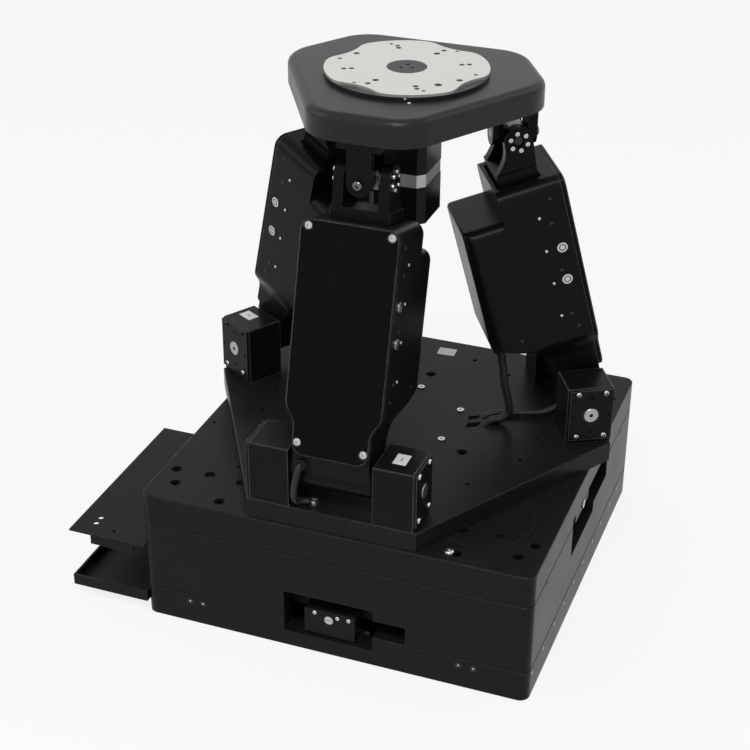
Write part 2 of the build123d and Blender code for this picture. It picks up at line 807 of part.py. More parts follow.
# Places of the four cover screws of a leg
leg_screw_places = [
    (side * place[0], place[1]) for side in (-1, 1) for place in (cover_screw_top, cover_screw_low)
]
leg_front_plane = Plane.XZ.offset(-leg_front)
outward_face = Plane(origin=(0, leg_front, 0), x_dir=(-1, 0, 0), z_dir=(0, 1, 0))
outward_cover = Plane(origin=(0, leg_front + leg_cover_t, 0), x_dir=(-1, 0, 0), z_dir=(0, 1, 0))

sensor_way = Vector(0, cos(radians(sensor_gland_turn)), sin(radians(sensor_gland_turn)))
sensor_exit = Vector(sensor_gland_x, 0, 0) + sensor_way * foot_r

# Leg housing: stepped back with a bulge for the motor, and a round foot on the hinge
with BuildPart() as leg_housing:
    with BuildSketch(Plane.YZ):
        with BuildLine():
            Polyline(
                (-foot_r, 0),
                (-foot_r, foot_back_z),
                (foot_slope_y, foot_slope_z),
                (bulge_low_y, bulge_low - edge_chamfer),
                (bulge_back, bulge_low + bulge_low_rise),
                (bulge_back, bulge_top),
                (leg_back, bulge_top),
                (leg_back, leg_top),
                (leg_front, leg_top),
                (leg_front, foot_front_z),
                (foot_r, 0),
            )
            ThreePointArc((foot_r, 0), (0, -foot_r), (-foot_r, 0))
        make_face()
    extrude(amount=leg_half_w, both=True)
    extrude(leg_face(-2 * foot_r), amount=4 * leg_half_w, both=True, mode=Mode.INTERSECT)
    bulge_edges = leg_housing.faces().filter_by(Axis.Y).sort_by(Axis.Y)[0].edges()
    fillet(bulge_edges.sort_by(Axis.Z)[-1], radius=bulge_edge_r)
    side_edges = leg_housing.edges().filter_by(Axis.Y)
    fillet(side_edges.filter_by_position(Axis.Z, bulge_top, bulge_top), radius=leg_edge_r)
    with BuildSketch(outward_face):
        with Locations((0, (neck_high + leg_top - leg_wall) / 2)):
            Rectangle(2 * (leg_half_w - leg_wall), leg_top - leg_wall - neck_high)
    extrude(amount=-(leg_front - throat_back), mode=Mode.SUBTRACT)
    with BuildSketch(Plane(origin=(0, throat_back, 0), x_dir=(-1, 0, 0), z_dir=(0, 1, 0))):
        with Locations((0, (bulge_floor + bulge_top - leg_wall) / 2)):
            Rectangle(2 * (leg_half_w - leg_wall), bulge_top - leg_wall - bulge_floor)
    extrude(amount=bulge_back + leg_wall - throat_back, mode=Mode.SUBTRACT)
    with BuildSketch(Plane.XY.offset(leg_top)):
        with Locations((0, (throat_back + throat_front) / 2)):
            Rectangle(2 * throat_half_w, throat_front - throat_back)
    extrude(amount=-2 * leg_wall, mode=Mode.SUBTRACT)
    with BuildSketch(Plane.YZ.offset(-foot_half_w - hinge_boss_t)):
        Circle(hinge_boss_d / 2)
    extrude(amount=2 * (foot_half_w + hinge_boss_t))
    with BuildSketch(Plane.YZ):
        Circle(shaft_d / 2 + shaft_fit)
    extrude(amount=2 * leg_half_w, both=True, mode=Mode.SUBTRACT)
    with Locations(outward_face):
        with Locations(*leg_screw_places):
            Hole(cover_screw_d / 2 + cover_screw_gap, depth=cover_screw_l)
        with Locations((-earth_gland[0], earth_gland[1])):
            Hole(earth_wire_d / 2 + earth_gland_gap, depth=gland_depth + leg_front - foot_r)
    with BuildSketch(Plane.XY.offset(bulge_low - edge_chamfer)):
        with Locations(motor_gland):
            Circle(motor_cable_d / 2 + motor_gland_gap)
    extrude(amount=bulge_floor - bulge_low + edge_chamfer, mode=Mode.SUBTRACT)
    with BuildSketch(Plane(sensor_exit, z_dir=sensor_way)):
        Circle(sensor_cable_d / 2 + sensor_gland_gap)
    extrude(amount=gland_depth, both=True, mode=Mode.SUBTRACT)

# Flat cover on the outer face of a leg
with BuildPart() as leg_cover:
    with BuildSketch(leg_front_plane):
        add(leg_face(foot_front_z))
    extrude(amount=-leg_cover_t)
    chamfer(leg_cover.faces().sort_by(Axis.Y)[-1].edges(), length=leg_cover_chamfer)
    with Locations(outward_cover):
        with Locations(*leg_screw_places):
            CounterBoreHole(
                cover_screw_d / 2 + cover_screw_gap,
                cover_screw_head_d / 2 + cover_screw_gap,
                cover_screw_sink,
                depth=leg_cover_t,
            )

# Button-head screws of a leg cover
screw_seat = outward_cover.offset(-cover_screw_sink)
with BuildPart() as leg_cover_screws:
    with BuildSketch(screw_seat):
        with Locations(*leg_screw_places):
            Circle(cover_screw_head_d / 2)
    extrude(amount=cover_screw_head_h)
    chamfer(leg_cover_screws.edges().group_by(Axis.Y)[-1], length=edge_chamfer)
    with BuildSketch(screw_seat):
        with Locations(*leg_screw_places):
            Circle(cover_screw_d / 2)
    extrude(amount=-(cover_screw_l - leg_cover_t))
    with BuildSketch(screw_seat.offset(cover_screw_head_h)):
        with Locations(*leg_screw_places):
            RegularPolygon(cover_screw_hex / 2, 6)
    extrude(amount=-cover_screw_head_h / 2, mode=Mode.SUBTRACT)

# Hinge shaft through the foot and both posts
with BuildPart() as hinge_shaft:
    with BuildSketch(Plane.YZ):
        Circle(shaft_d / 2)
    extrude(amount=plate_half_w + shaft_proud, both=True)
    chamfer(hinge_shaft.edges(), length=edge_chamfer / 2)
    with Locations(Plane.YZ.offset(plate_half_w + shaft_proud)):
        Hole(shaft_tap_d / 2, depth=2 * shaft_tap_d)
    with Locations(Plane.YZ.offset(-plate_half_w - shaft_proud).rotated((0, 180, 0))):
        Hole(shaft_tap_d / 2, depth=2 * shaft_tap_d)

# Drive of a leg: motor in the bulge, belt at its foot, screw and two guide rods
motor_y = bulge_back + leg_wall + leg_motor_side / 2
motor_z = bulge_top - leg_wall - leg_motor_l
belt_z = bulge_floor + belt_rise
with BuildPart() as leg_drive:
    with BuildSketch(Plane.XY.offset(motor_z)):
        with Locations((0, motor_y)):
            RectangleRounded(leg_motor_side, leg_motor_side, edge_chamfer * 3)
    extrude(amount=leg_motor_l)
    with BuildSketch(Plane.XY.offset(motor_z)):
        with Locations((0, motor_y)):
            Circle(leg_motor_shaft_d / 2)
    extrude(amount=belt_z - motor_z)
    with BuildSketch(Plane.XY.offset(belt_z)):
        with Locations((0, motor_y), (0, leg_screw_y)):
            Circle(pulley_d / 2)
    extrude(amount=belt_w)
    with BuildSketch(Plane.XY.offset(neck_high)):
        with Locations((0, leg_screw_y)):
            Circle(leg_nut_d / 2)
    extrude(amount=belt_z - belt_t - neck_high)
    with BuildSketch(Plane.XY.offset(neck_high)):
        with Locations((0, leg_screw_y)):
            Circle(leg_screw_d / 2)
    extrude(amount=rod_top - neck_high)
    with BuildSketch(Plane.XY.offset(neck_high)):
        with Locations((0, leg_screw_y)):
            with GridLocations(2 * rod_x, 0, 2, 1):
                Circle(rod_d / 2)
    extrude(amount=rod_top - neck_high)
    with BuildSketch(Plane.XY.offset(belt_z)):
        with Locations((0, (motor_y + leg_screw_y) / 2)):
            belt_reach = leg_screw_y - motor_y
            SlotCenterToCenter(belt_reach, pulley_d + 2 * (belt_gap + belt_t), rotation=90)
            SlotCenterToCenter(belt_reach, pulley_d + 2 * belt_gap, rotation=90, mode=Mode.SUBTRACT)
    extrude(amount=belt_w)

# Yoke: a ram that slides on the rods, and two arms around the universal joint
with BuildPart() as yoke:
    with BuildSketch(Plane.XY.offset(yoke_foot)):
        with Locations((0, (yoke_back + yoke_front) / 2)):
            RectangleRounded(2 * yoke_half_w, yoke_front - yoke_back, edge_chamfer * 2)
    extrude(amount=yoke_bridge - yoke_foot)
    with BuildSketch(Plane.YZ.offset(arm_in)):
        with BuildLine():
            Polyline(
                (yoke_back, yoke_bridge - edge_chamfer),
                (yoke_front, yoke_bridge - edge_chamfer),
                (arm_r, leg_l),
            )
            ThreePointArc((arm_r, leg_l), (0, leg_l + arm_r), (-arm_r, leg_l))
            Spline(
                (-arm_r, leg_l),
                (yoke_back, yoke_bridge - edge_chamfer),
                tangents=((0, -1), (-1, -1)),
            )
        make_face()
    extrude(amount=arm_out - arm_in)
    mirror(about=Plane.YZ)
    with BuildSketch(Plane.YZ.offset(-arm_out)):
        with Locations((0, leg_l)):
            Circle(yoke_pin_d / 2 + open_pivot_gap)
    extrude(amount=2 * arm_out, mode=Mode.SUBTRACT)
    with BuildSketch(Plane.YZ.offset(arm_out)):
        with Locations((0, leg_l)):
            with PolarLocations(yoke_ring_r, yoke_ring_count, start_angle=yoke_ring_turn):
                Circle(yoke_ring_screw_d / 2)
    extrude(amount=-yoke_ring_screw_l, mode=Mode.SUBTRACT)
    with BuildSketch(Plane.YZ.offset(-arm_out)):
        with Locations((0, leg_l)):
            with PolarLocations(yoke_ring_r, yoke_ring_count, start_angle=yoke_ring_turn):
                Circle(yoke_ring_screw_d / 2)
    extrude(amount=yoke_ring_screw_l, mode=Mode.SUBTRACT)
    with BuildSketch(Plane.XY.offset(yoke_foot)):
        with Locations((0, leg_screw_y)):
            Circle(leg_screw_d / 2 + drive_gap)
            with GridLocations(2 * rod_x, 0, 2, 1):
                Circle(rod_d / 2 + rod_fit)
    extrude(amount=rod_top + leg_travel + drive_gap - yoke_foot, mode=Mode.SUBTRACT)

for number, angle in enumerate(leg_angles, start=1):
    placed = leg_frame(angle).location
    save(placed * leg_housing.part, f"leg_{number}_housing")
    save(placed * leg_cover.part, f"leg_{number}_cover")
    save(placed * leg_cover_screws.part, f"leg_{number}_cover_screws")
    save(placed * hinge_shaft.part, f"leg_{number}_hinge_shaft")
    save(placed * leg_drive.part, f"leg_{number}_drive")
    save(placed * yoke.part, f"leg_{number}_yoke")

# Cross of a universal joint: a block between the clevis plates
clevis_inner = cross_half + clevis_washer_t + 2 * clevis_washer_gap
clevis_outer = clevis_inner + clevis_t
with BuildPart() as joint_cross:
    with BuildSketch(Plane.XZ.offset(-cross_half)):
        Rectangle(2 * cross_half_w, 2 * cross_half)
    extrude(amount=2 * cross_half)
    chamfer(joint_cross.edges().filter_by(Axis.X), length=cross_cut)
    with BuildSketch(Plane.XZ.offset(-cross_half)):
        Circle(clevis_pin_d / 2 + pin_fit)
    extrude(amount=2 * cross_half, mode=Mode.SUBTRACT)
    with BuildSketch(Plane.YZ.offset(-cross_half_w)):
        Circle(yoke_pin_d / 2 + yoke_pin_gap)
    extrude(amount=2 * cross_half_w, mode=Mode.SUBTRACT)

# Stub pins and thrust washers on the yoke axis
with BuildPart() as yoke_pins:
    with BuildSketch(Plane.YZ.offset(clevis_pin_d / 2 + edge_chamfer)):
        Circle(yoke_pin_d / 2)
    extrude(amount=yoke_pin_end - clevis_pin_d / 2 - edge_chamfer)
    with BuildSketch(Plane.YZ.offset(cross_half_w + washer_gap)):
        Circle(washer_d / 2)
    extrude(amount=washer_t)
    mirror(about=Plane.YZ)

# Headed pin along the clevis axis
with BuildPart() as clevis_pin:
    with BuildSketch(Plane.XZ.offset(clevis_outer)):
        Circle(clevis_pin_d / 2)
    extrude(amount=-2 * clevis_outer)
    with BuildSketch(Plane.XZ.offset(-clevis_outer - clevis_head_gap)):
        Circle(clevis_pin_head_d / 2)
    extrude(amount=-clevis_pin_head_h)
    chamfer(clevis_pin.edges().group_by(Axis.Y)[-1], length=edge_chamfer)
    with BuildSketch(Plane.XZ.offset(-clevis_outer)):
        Circle(clevis_pin_d / 2)
    extrude(amount=-clevis_head_gap)
    with BuildSketch(Plane.XZ.offset(-clevis_outer - clevis_head_gap - clevis_pin_head_h)):
        RegularPolygon(clevis_pin_hex / 2, 6)
    extrude(amount=clevis_pin_head_h / 2, mode=Mode.SUBTRACT)

# Washers between the cross and the clevis plates
with BuildPart() as clevis_washers:
    with BuildSketch(Plane.XZ.offset(-cross_half - clevis_washer_gap)):
        Circle(clevis_washer_d / 2)
        Circle(clevis_pin_d / 2 + clevis_washer_gap, mode=Mode.SUBTRACT)
    extrude(amount=-clevis_washer_t)
    mirror(about=Plane.XZ)

# Clevis bracket under the platform: a foot and two rounded plates
clevis_top = z_platform - joint_z
with BuildPart() as clevis:
    with BuildSketch(Plane.XZ.offset(-clevis_outer)):
        with Locations((0, clevis_top / 2)):
            Rectangle(2 * clevis_half_w, clevis_top)
        Circle(clevis_half_w)
    extrude(amount=clevis_t)
    mirror(about=Plane.XZ)
    with BuildSketch(Plane.XY.offset(clevis_top)):
        Rectangle(2 * clevis_foot_half_w, 2 * clevis_outer)
    extrude(amount=-clevis_foot_t)
    with BuildSketch(Plane.XZ.offset(-2 * clevis_outer)):
        Circle(clevis_pin_d / 2 + pin_fit)
    extrude(amount=4 * clevis_outer, mode=Mode.SUBTRACT)
save(at_stations(joint_frame, clevis.part), "platform_clevises")

for number, angle in enumerate(leg_angles, start=1):
    placed = joint_frame(angle).location
    save(placed * joint_cross.part, f"joint_{number}_cross")
    save(placed * yoke_pins.part, f"joint_{number}_yoke_pins")
    if number == loose_washer_leg:
        save(placed * clevis_pin.part, f"joint_{number}_clevis_pin")
        save(placed * clevis_washers.part, f"joint_{number}_washers")
    else:
        pin_set = Compound(children=[placed * clevis_pin.part, placed * clevis_washers.part])
        save(pin_set, f"joint_{number}_clevis_pin")

# Platform: three long sides, three cut corners, soft upper edge
platform_corners = []
for angle in leg_angles:
    station = station_frame(angle)
    half_cut = (platform_side - platform_corner * cos(radians(60))) / sin(radians(60))
    platform_corners.append(station.from_local_coords((half_cut, platform_corner, 0)))
    platform_corners.append(station.from_local_coords((-half_cut, platform_corner, 0)))
with BuildPart() as platform_plate:
    with BuildSketch(Plane.XY.offset(z_platform)):
        Polygon(*[(corner.X, corner.Y) for corner in platform_corners], align=None)
    extrude(amount=platform_t)
    fillet(platform_plate.edges().filter_by(Axis.Z), radius=platform_corner_r)
    fillet(platform_plate.edges().group_by(Axis.Z)[-1], radius=platform_edge_r)
    with BuildSketch(Plane.XY.offset(z_platform_top)):
        Circle(bearing_d / 2)
    extrude(amount=-bearing_depth, mode=Mode.SUBTRACT)
    with BuildSketch(Plane.XY.offset(z_platform)):
        Circle(drive_bore_d / 2)
    extrude(amount=platform_t, mode=Mode.SUBTRACT)
save(platform_plate.part, "platform_plate")

# Ring of the table bearing, in its seat in the platform
with BuildPart() as rotary_bearing:
    with BuildSketch(Plane.XY.offset(z_platform_top - bearing_depth)):
        Circle(bearing_d / 2)
        Circle(bearing_hole_d / 2, mode=Mode.SUBTRACT)
    extrude(amount=bearing_depth - table_gap)
save(rotary_bearing.part, "rotary_bearing")


# Square motor section with cut corners
def motor_section(bottom, top, inset):
    with BuildPart() as section:
        with BuildSketch(Plane.XY.offset(bottom)):
            square = Rectangle(motor_side - 2 * inset, motor_side - 2 * inset)
            chamfer(square.vertices(), length=motor_cut)
        extrude(amount=top - bottom)
    return section.part


motor_bell = motor_section(band_high, z_platform, 0)
motor_body = motor_section(motor_bottom, band_low, 0)
save(Compound(children=[motor_bell, motor_body]), "rotary_motor")
save(motor_section(band_low, band_high, band_inset), "motor_band")

# Table flange: disc on the platform, spindle in the bearing, hub through the plate
z_flange = z_platform_top + table_gap
z_table_plate = z_flange + flange_t
z_table_top = z_table_plate + table_plate_t
with BuildPart() as table_flange:
    with BuildSketch(Plane.XY.offset(z_flange)):
        Circle(table_r)
    extrude(amount=flange_t)
    with BuildSketch(Plane.XY.offset(z_flange)):
        Circle(bearing_hole_d / 2 - spindle_fit)
    extrude(amount=-(bearing_depth - spindle_gap))
    with BuildSketch(Plane.XY.offset(z_table_plate)):
        Circle(hub_r)
    extrude(amount=table_plate_t)
    with Locations(Plane.XY.offset(z_table_top)):
        with PolarLocations(hub_hole_r, 3, start_angle=table_turn):
            Hole(hub_hole_d / 2, depth=table_plate_t + flange_t)
save(table_flange.part, "table_flange")

# Silver mounting plate with four hollowed sides and its hole pattern
with BuildPart() as mounting_plate:
    with BuildSketch(Plane.XY.offset(z_table_plate)) as table_outline:
        Circle(table_r)
        with PolarLocations(table_flat + table_bite_r, 4, start_angle=table_turn):
            Circle(table_bite_r, mode=Mode.SUBTRACT)
        fillet(table_outline.vertices(), radius=table_lobe_r)
        Circle(hub_r + hub_gap, mode=Mode.SUBTRACT)
    extrude(amount=table_plate_t)
    with Locations(Plane.XY.offset(z_table_top)):
        for hole_r, hole_turn, hole_d in table_hole_pairs:
            with PolarLocations(hole_r, 2, start_angle=table_turn + hole_turn):
                Hole(hole_d / 2, depth=table_plate_t)
        with PolarLocations(table_single_hole[0], 1, start_angle=table_turn + table_single_hole[1]):
            Hole(table_single_hole[2] / 2, depth=table_plate_t)
save(mounting_plate.part, "mounting_plate")


# Round cable along straight runs joined by tangent arcs
def cable(points, diameter):
    corners = [Vector(*point) for point in points]
    radii = []
    for before, corner, after in zip(corners, corners[1:], corners[2:]):
        turn = radians((corner - before).get_angle(after - corner))
        shorter = min((corner - before).length, (after - corner).length)
        radii.append(bend_share * shorter / tan(turn / 2))
    with BuildPart() as tube:
        with BuildLine() as route:
            FilletPolyline(*corners, radius=radii)
        with BuildSketch(Plane(origin=corners[0], z_dir=corners[1] - corners[0])):
            Circle(diameter / 2)
        sweep(path=route.wires()[0])
    print("cable", round(route.wires()[0].length, 1), [round(radius, 1) for radius in radii])
    return tube.part


# Places of a cable's bends in station coordinates
def bend_places(bends):
    return [(across, hinge_r + outward, z_plate_top + height) for across, outward, height in bends]


# Last run of a cable: over the lip of its slot, down and in under the hub cover
def slot_run(across, diameter):
    over = z_plate_top + diameter / 2 + cable_lift
    under = z_plate_top - cable_slot_depth + diameter / 2 + cable_lift / 2
    stop = (across, cable_slot_stop, under)
    return [(across, cable_slot_lip, over), (across, cable_slot_knee, under), stop]


# Motor cable: out of the bulge, down to the plate and in under the hub cover
motor_start = on_leg(*motor_gland, bulge_floor - motor_cable_sink)
motor_out = on_leg(*motor_gland, bulge_floor - motor_cable_drop)
motor_end = slot_run(motor_slot_x, motor_cable_d)
motor_cable = cable([motor_start, motor_out, *bend_places(motor_bends), *motor_end], motor_cable_d)

# Sensor cable: out of the foot, along the plate and in under the hub cover
sensor_start = on_leg(*(sensor_exit - sensor_way * gland_depth / 2))
sensor_out = on_leg(*(sensor_exit + sensor_way * sensor_cable_d))
sensor_end = slot_run(sensor_slot_x, sensor_cable_d)
sensor_cable = cable([sensor_start, sensor_out, *bend_places(sensor_bends), *sensor_end], sensor_cable_d)

# Earth wire: out of the front of the foot, down to its lug under the screw
earth_start = on_leg(earth_gland[0], foot_r - gland_depth / 2, earth_gland[1])
earth_out = on_leg(earth_gland[0], foot_r + earth_wire_out, earth_gland[1])
earth_end = (earth_screw[0] + lug_d / 2, earth_screw[1], z_plate_top + earth_wire_d / 2)
earth_wire = cable([earth_start, earth_out, *bend_places(earth_bends), earth_end], earth_wire_d)

# Ring lug at the end of the earth wire
with BuildPart() as earth_lug:
    with BuildSketch(Plane.XY.offset(z_plate_top)):
        with Locations(earth_screw):
            Circle(lug_d / 2)
            Circle(earth_screw_d / 2 + cover_gap, mode=Mode.SUBTRACT)
    extrude(amount=lug_t)
save(at_stations(station_frame, motor_cable, sensor_cable, earth_wire, earth_lug.part), "leg_cables")
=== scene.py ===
import json
import bpy
import numpy as np
from mathutils import Matrix, Vector


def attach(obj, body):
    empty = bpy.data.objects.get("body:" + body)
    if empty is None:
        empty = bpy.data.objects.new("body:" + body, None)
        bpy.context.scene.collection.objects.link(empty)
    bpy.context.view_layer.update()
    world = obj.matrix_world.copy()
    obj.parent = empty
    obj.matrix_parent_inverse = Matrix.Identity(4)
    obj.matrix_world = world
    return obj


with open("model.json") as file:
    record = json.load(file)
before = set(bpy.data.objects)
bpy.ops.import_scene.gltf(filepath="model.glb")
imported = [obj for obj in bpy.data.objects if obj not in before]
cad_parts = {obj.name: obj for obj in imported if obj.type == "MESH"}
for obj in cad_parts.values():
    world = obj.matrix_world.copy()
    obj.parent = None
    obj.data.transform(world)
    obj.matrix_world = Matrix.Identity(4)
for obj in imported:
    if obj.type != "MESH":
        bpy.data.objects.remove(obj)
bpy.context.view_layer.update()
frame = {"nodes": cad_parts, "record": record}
print("frame loaded:", len(frame["nodes"]), "solids")


# places on the machine, in metres

station = {
    "angles": (-90.0, 30.0, 150.0),  # where the three legs stand, in degrees round the table axis
    "hingeRadius": 0.1755,
    "hingeHeight": 0.197,
    "jointRadius": 0.103,
    "jointHeight": 0.468,
}
leanAngle = np.arctan2(
    station["hingeRadius"] - station["jointRadius"], station["jointHeight"] - station["hingeHeight"]
)


def legToWorld(leg, points):
    # point = hinge + x across + y outward-and-up + z up the leaning leg; all points at once
    turn = np.radians(station["angles"][leg])
    outward = np.array([np.cos(turn), np.sin(turn), 0.0])
    across = np.array([np.sin(turn), -np.cos(turn), 0.0])
    up = -np.sin(leanAngle) * outward + np.cos(leanAngle) * np.array([0.0, 0.0, 1.0])
    hinge = station["hingeRadius"] * outward + np.array([0.0, 0.0, station["hingeHeight"]])
    axes = np.stack([across, np.cross(up, across), up])
    return hinge + np.asarray(points, float) @ axes, axes


def stationToWorld(leg, points):
    # point = x across + y outward + z up, turned to that leg's side of the tripod
    turn = np.radians(station["angles"][leg])
    axes = np.array(
        [[np.sin(turn), -np.cos(turn), 0.0], [np.cos(turn), np.sin(turn), 0.0], [0.0, 0.0, 1.0]]
    )
    return np.asarray(points, float) @ axes, axes


# surfaces worked out on grids


def standOn(points, places, axes, spins=None):
    # every point of one shape, copied to every place with its z along that place's axis
    places = np.asarray(places, float).reshape(-1, 3)
    upward = np.asarray(axes, float).reshape(-1, 3) * np.ones((len(places), 1))
    upward = upward / np.linalg.norm(upward, axis=1, keepdims=True)
    helper = np.where(np.abs(upward[:, 2:3]) > 0.9, [[1.0, 0.0, 0.0]], [[0.0, 0.0, 1.0]])
    side = np.cross(helper, upward)
    side = side / np.linalg.norm(side, axis=1, keepdims=True)
    other = np.cross(upward, side)
    if spins is not None:
        spin = np.radians(np.asarray(spins, float)).reshape(-1, 1)
        side, other = side * np.cos(spin) + other * np.sin(spin), other * np.cos(spin) - side * np.sin(spin)
    basis = np.stack([side, other, upward], axis=1)
    return places[:, None, :] + np.einsum("vk,nkc->nvc", points, basis)


def carryRound(profile, sides, hexRows):
    # profile (radius, height) carried round z; rows in hexRows take radius / cos(angle to the nearest flat)
    angle = np.arange(sides) / sides * 2 * np.pi
    toFlat = (angle + np.pi / 6) % (np.pi / 3) - np.pi / 6
    stretch = np.ones((len(profile), sides))
    stretch[list(hexRows)] = 1 / np.cos(toFlat)
    radius = profile[:, :1] * stretch
    return np.stack([radius * np.cos(angle), radius * np.sin(angle), profile[:, 1:] * np.ones(sides)], axis=2)


def turnedShape(profile, sides, hexRows=()):
    # the first and last profile points lie on the axis and become single poles
    profile = np.asarray(profile, float)
    ring = carryRound(profile, sides, hexRows)[1:-1].reshape(-1, 3)
    points = np.vstack([ring, [[0.0, 0.0, profile[0, 1]], [0.0, 0.0, profile[-1, 1]]]])
    count = len(profile) - 2
    here = np.arange(sides)
    there = (here + 1) % sides
    level = np.arange(count - 1)[:, None] * sides
    quads = np.stack([level + here, level + there, level + sides + there, level + sides + here], axis=2)
    first, last = len(ring), len(ring) + 1
    capBottom = np.stack([there, here, np.full(sides, first)], axis=1)
    top = (count - 1) * sides
    capTop = np.stack([top + here, top + there, np.full(sides, last)], axis=1)
    return points, quads.reshape(-1, 4), np.vstack([capBottom, capTop])


def ringShape(profile, sides, hexRows=()):
    # closed profile carried round z, joined to itself both ways like a tyre
    profile = np.asarray(profile, float)
    rows = carryRound(profile, sides, hexRows)
    row = np.arange(len(profile))[:, None]
    column = np.arange(sides)[None, :]
    nextRow = (row + 1) % len(profile)
    nextColumn = (column + 1) % sides
    quads = np.stack(
        [
            row * sides + column,
            row * sides + nextColumn,
            nextRow * sides + nextColumn,
            nextRow * sides + column,
        ],
        axis=2,
    )
    return rows.reshape(-1, 3), quads.reshape(-1, 4), np.zeros((0, 3), int)


def pillowPlate(width, depth, thick, corner, steps=6):
    # rounded rectangle outline: x and y are a box corner plus a quarter circle; heights run
    # from the bottom face round a small edge to the top face, with a pole in each face
    quarter = np.linspace(0, np.pi / 2, steps)
    turns = np.concatenate([quarter + k * np.pi / 2 for k in range(4)])
    signX = np.repeat([1, -1, -1, 1], steps)
    signY = np.repeat([1, 1, -1, -1], steps)
    coreX, coreY = width / 2 - corner, depth / 2 - corner
    edge = min(thick * 0.35, corner * 0.5)
    inset = np.array([edge, 0.0, 0.0, edge])
    height = np.array([0.0, edge, thick - edge, thick])
    reach = corner - inset[:, None]
    rows = np.stack(
        [
            signX * coreX + reach * np.cos(turns),
            signY * coreY + reach * np.sin(turns),
            height[:, None] * np.ones(4 * steps),
        ],
        axis=2,
    )
    sides = 4 * steps
    points = np.vstack([rows.reshape(-1, 3), [[0, 0, 0.0], [0, 0, thick]]])
    here = np.arange(sides)
    there = (here + 1) % sides
    level = np.arange(3)[:, None] * sides
    quads = np.stack([level + here, level + there, level + sides + there, level + sides + here], axis=2)
    bottom = np.stack([there, here, np.full(sides, 4 * sides)], axis=1)
    top = np.stack([3 * sides + here, 3 * sides + there, np.full(sides, 4 * sides + 1)], axis=1)
    return points, quads.reshape(-1, 4), np.vstack([bottom, top])


smoothBelow = 38.0  # degrees between faces that still read as one rounded surface


def addObject(name, data):
    made = bpy.data.objects.new(name, data)
    bpy.context.scene.collection.objects.link(made)
    return made


def addPiece(name, shape, places, axes, body, material, spins=None):
    # one mesh that holds every copy of the shape
    points, quads, triangles = shape
    copies = standOn(points, places, axes, spins)
    step = (np.arange(len(copies)) * len(points))[:, None, None]
    allQuads = (quads[None] + step).reshape(-1, 4)
    allTriangles = (triangles[None] + step).reshape(-1, 3)
    mesh = bpy.data.meshes.new(name)
    mesh.from_pydata(copies.reshape(-1, 3).tolist(), [], allQuads.tolist() + allTriangles.tolist())
    mesh.polygons.foreach_set("use_smooth", np.ones(len(mesh.polygons), bool))
    mesh.set_sharp_from_angle(angle=np.radians(smoothBelow))
    mesh.update()
    piece = addObject(name, mesh)
    mesh.materials.append(material)
    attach(piece, body)
    return piece


# effects shared by the finishes


def startGroup(name, inputs, outputs):
    group = bpy.data.node_groups.new(name, "ShaderNodeTree")
    for label, value in inputs.items():
        kind = "NodeSocketColor" if isinstance(value, tuple) else "NodeSocketFloat"
        socket = group.interface.new_socket(name=label, in_out="INPUT", socket_type=kind)
        socket.default_value = value
    for label, kind in outputs.items():
        group.interface.new_socket(name=label, in_out="OUTPUT", socket_type=kind)
    return group, group.nodes.new("NodeGroupInput"), group.nodes.new("NodeGroupOutput")


def addMath(tree, operation, first, second=None, clamp=False):
    node = tree.nodes.new("ShaderNodeMath")
    node.operation = operation
    node.use_clamp = clamp
    for index, value in enumerate((first, second)):
        if value is None:
            continue
        if isinstance(value, (int, float)):
            node.inputs[index].default_value = value
        else:
            tree.links.new(value, node.inputs[index])
    return node.outputs[0]


def addNoise(tree, vector, scale, detail=2.0, roughness=0.5):
    node = tree.nodes.new("ShaderNodeTexNoise")
    node.inputs["Detail"].default_value = detail
    node.inputs["Roughness"].default_value = roughness
    tree.links.new(vector, node.inputs["Vector"])
    if isinstance(scale, (int, float)):
        node.inputs["Scale"].default_value = scale
    else:
        tree.links.new(scale, node.inputs["Scale"])
    return node.outputs["Fac"]


def buildEdgeWearAndHighlight():
    # mask = how far the surface normal turns within a short distance, broken up by noise; it marks edges for wear and
    # for a painted highlight
    group, given, result = startGroup(
        "edgeWearAndHighlight", {"Width": 0.0006, "Strength": 1.0, "Breakup": 60.0}, {"Mask": "NodeSocketFloat"}
    )
    rounded = group.nodes.new("ShaderNodeBevel")
    rounded.samples = 4
    group.links.new(given.outputs["Width"], rounded.inputs["Radius"])
    surface = group.nodes.new("ShaderNodeNewGeometry")
    compare = group.nodes.new("ShaderNodeVectorMath")
    compare.operation = "DOT_PRODUCT"
    group.links.new(rounded.outputs["Normal"], compare.inputs[0])
    group.links.new(surface.outputs["Normal"], compare.inputs[1])
    turned = addMath(group, "SUBTRACT", 1.0, compare.outputs["Value"])
    sharp = addMath(group, "MULTIPLY", turned, 9.0, clamp=True)
    coords = group.nodes.new("ShaderNodeTexCoord")
    cloud = addNoise(group, coords.outputs["Object"], given.outputs["Breakup"], 3.0, 0.6)
    broken = addMath(group, "MULTIPLY_ADD", cloud, 1.6)
    broken.node.inputs[2].default_value = 0.1
    masked = addMath(group, "MULTIPLY", sharp, broken)
    group.links.new(
        addMath(group, "MULTIPLY", masked, given.outputs["Strength"], clamp=True), result.inputs["Mask"]
    )
    return group


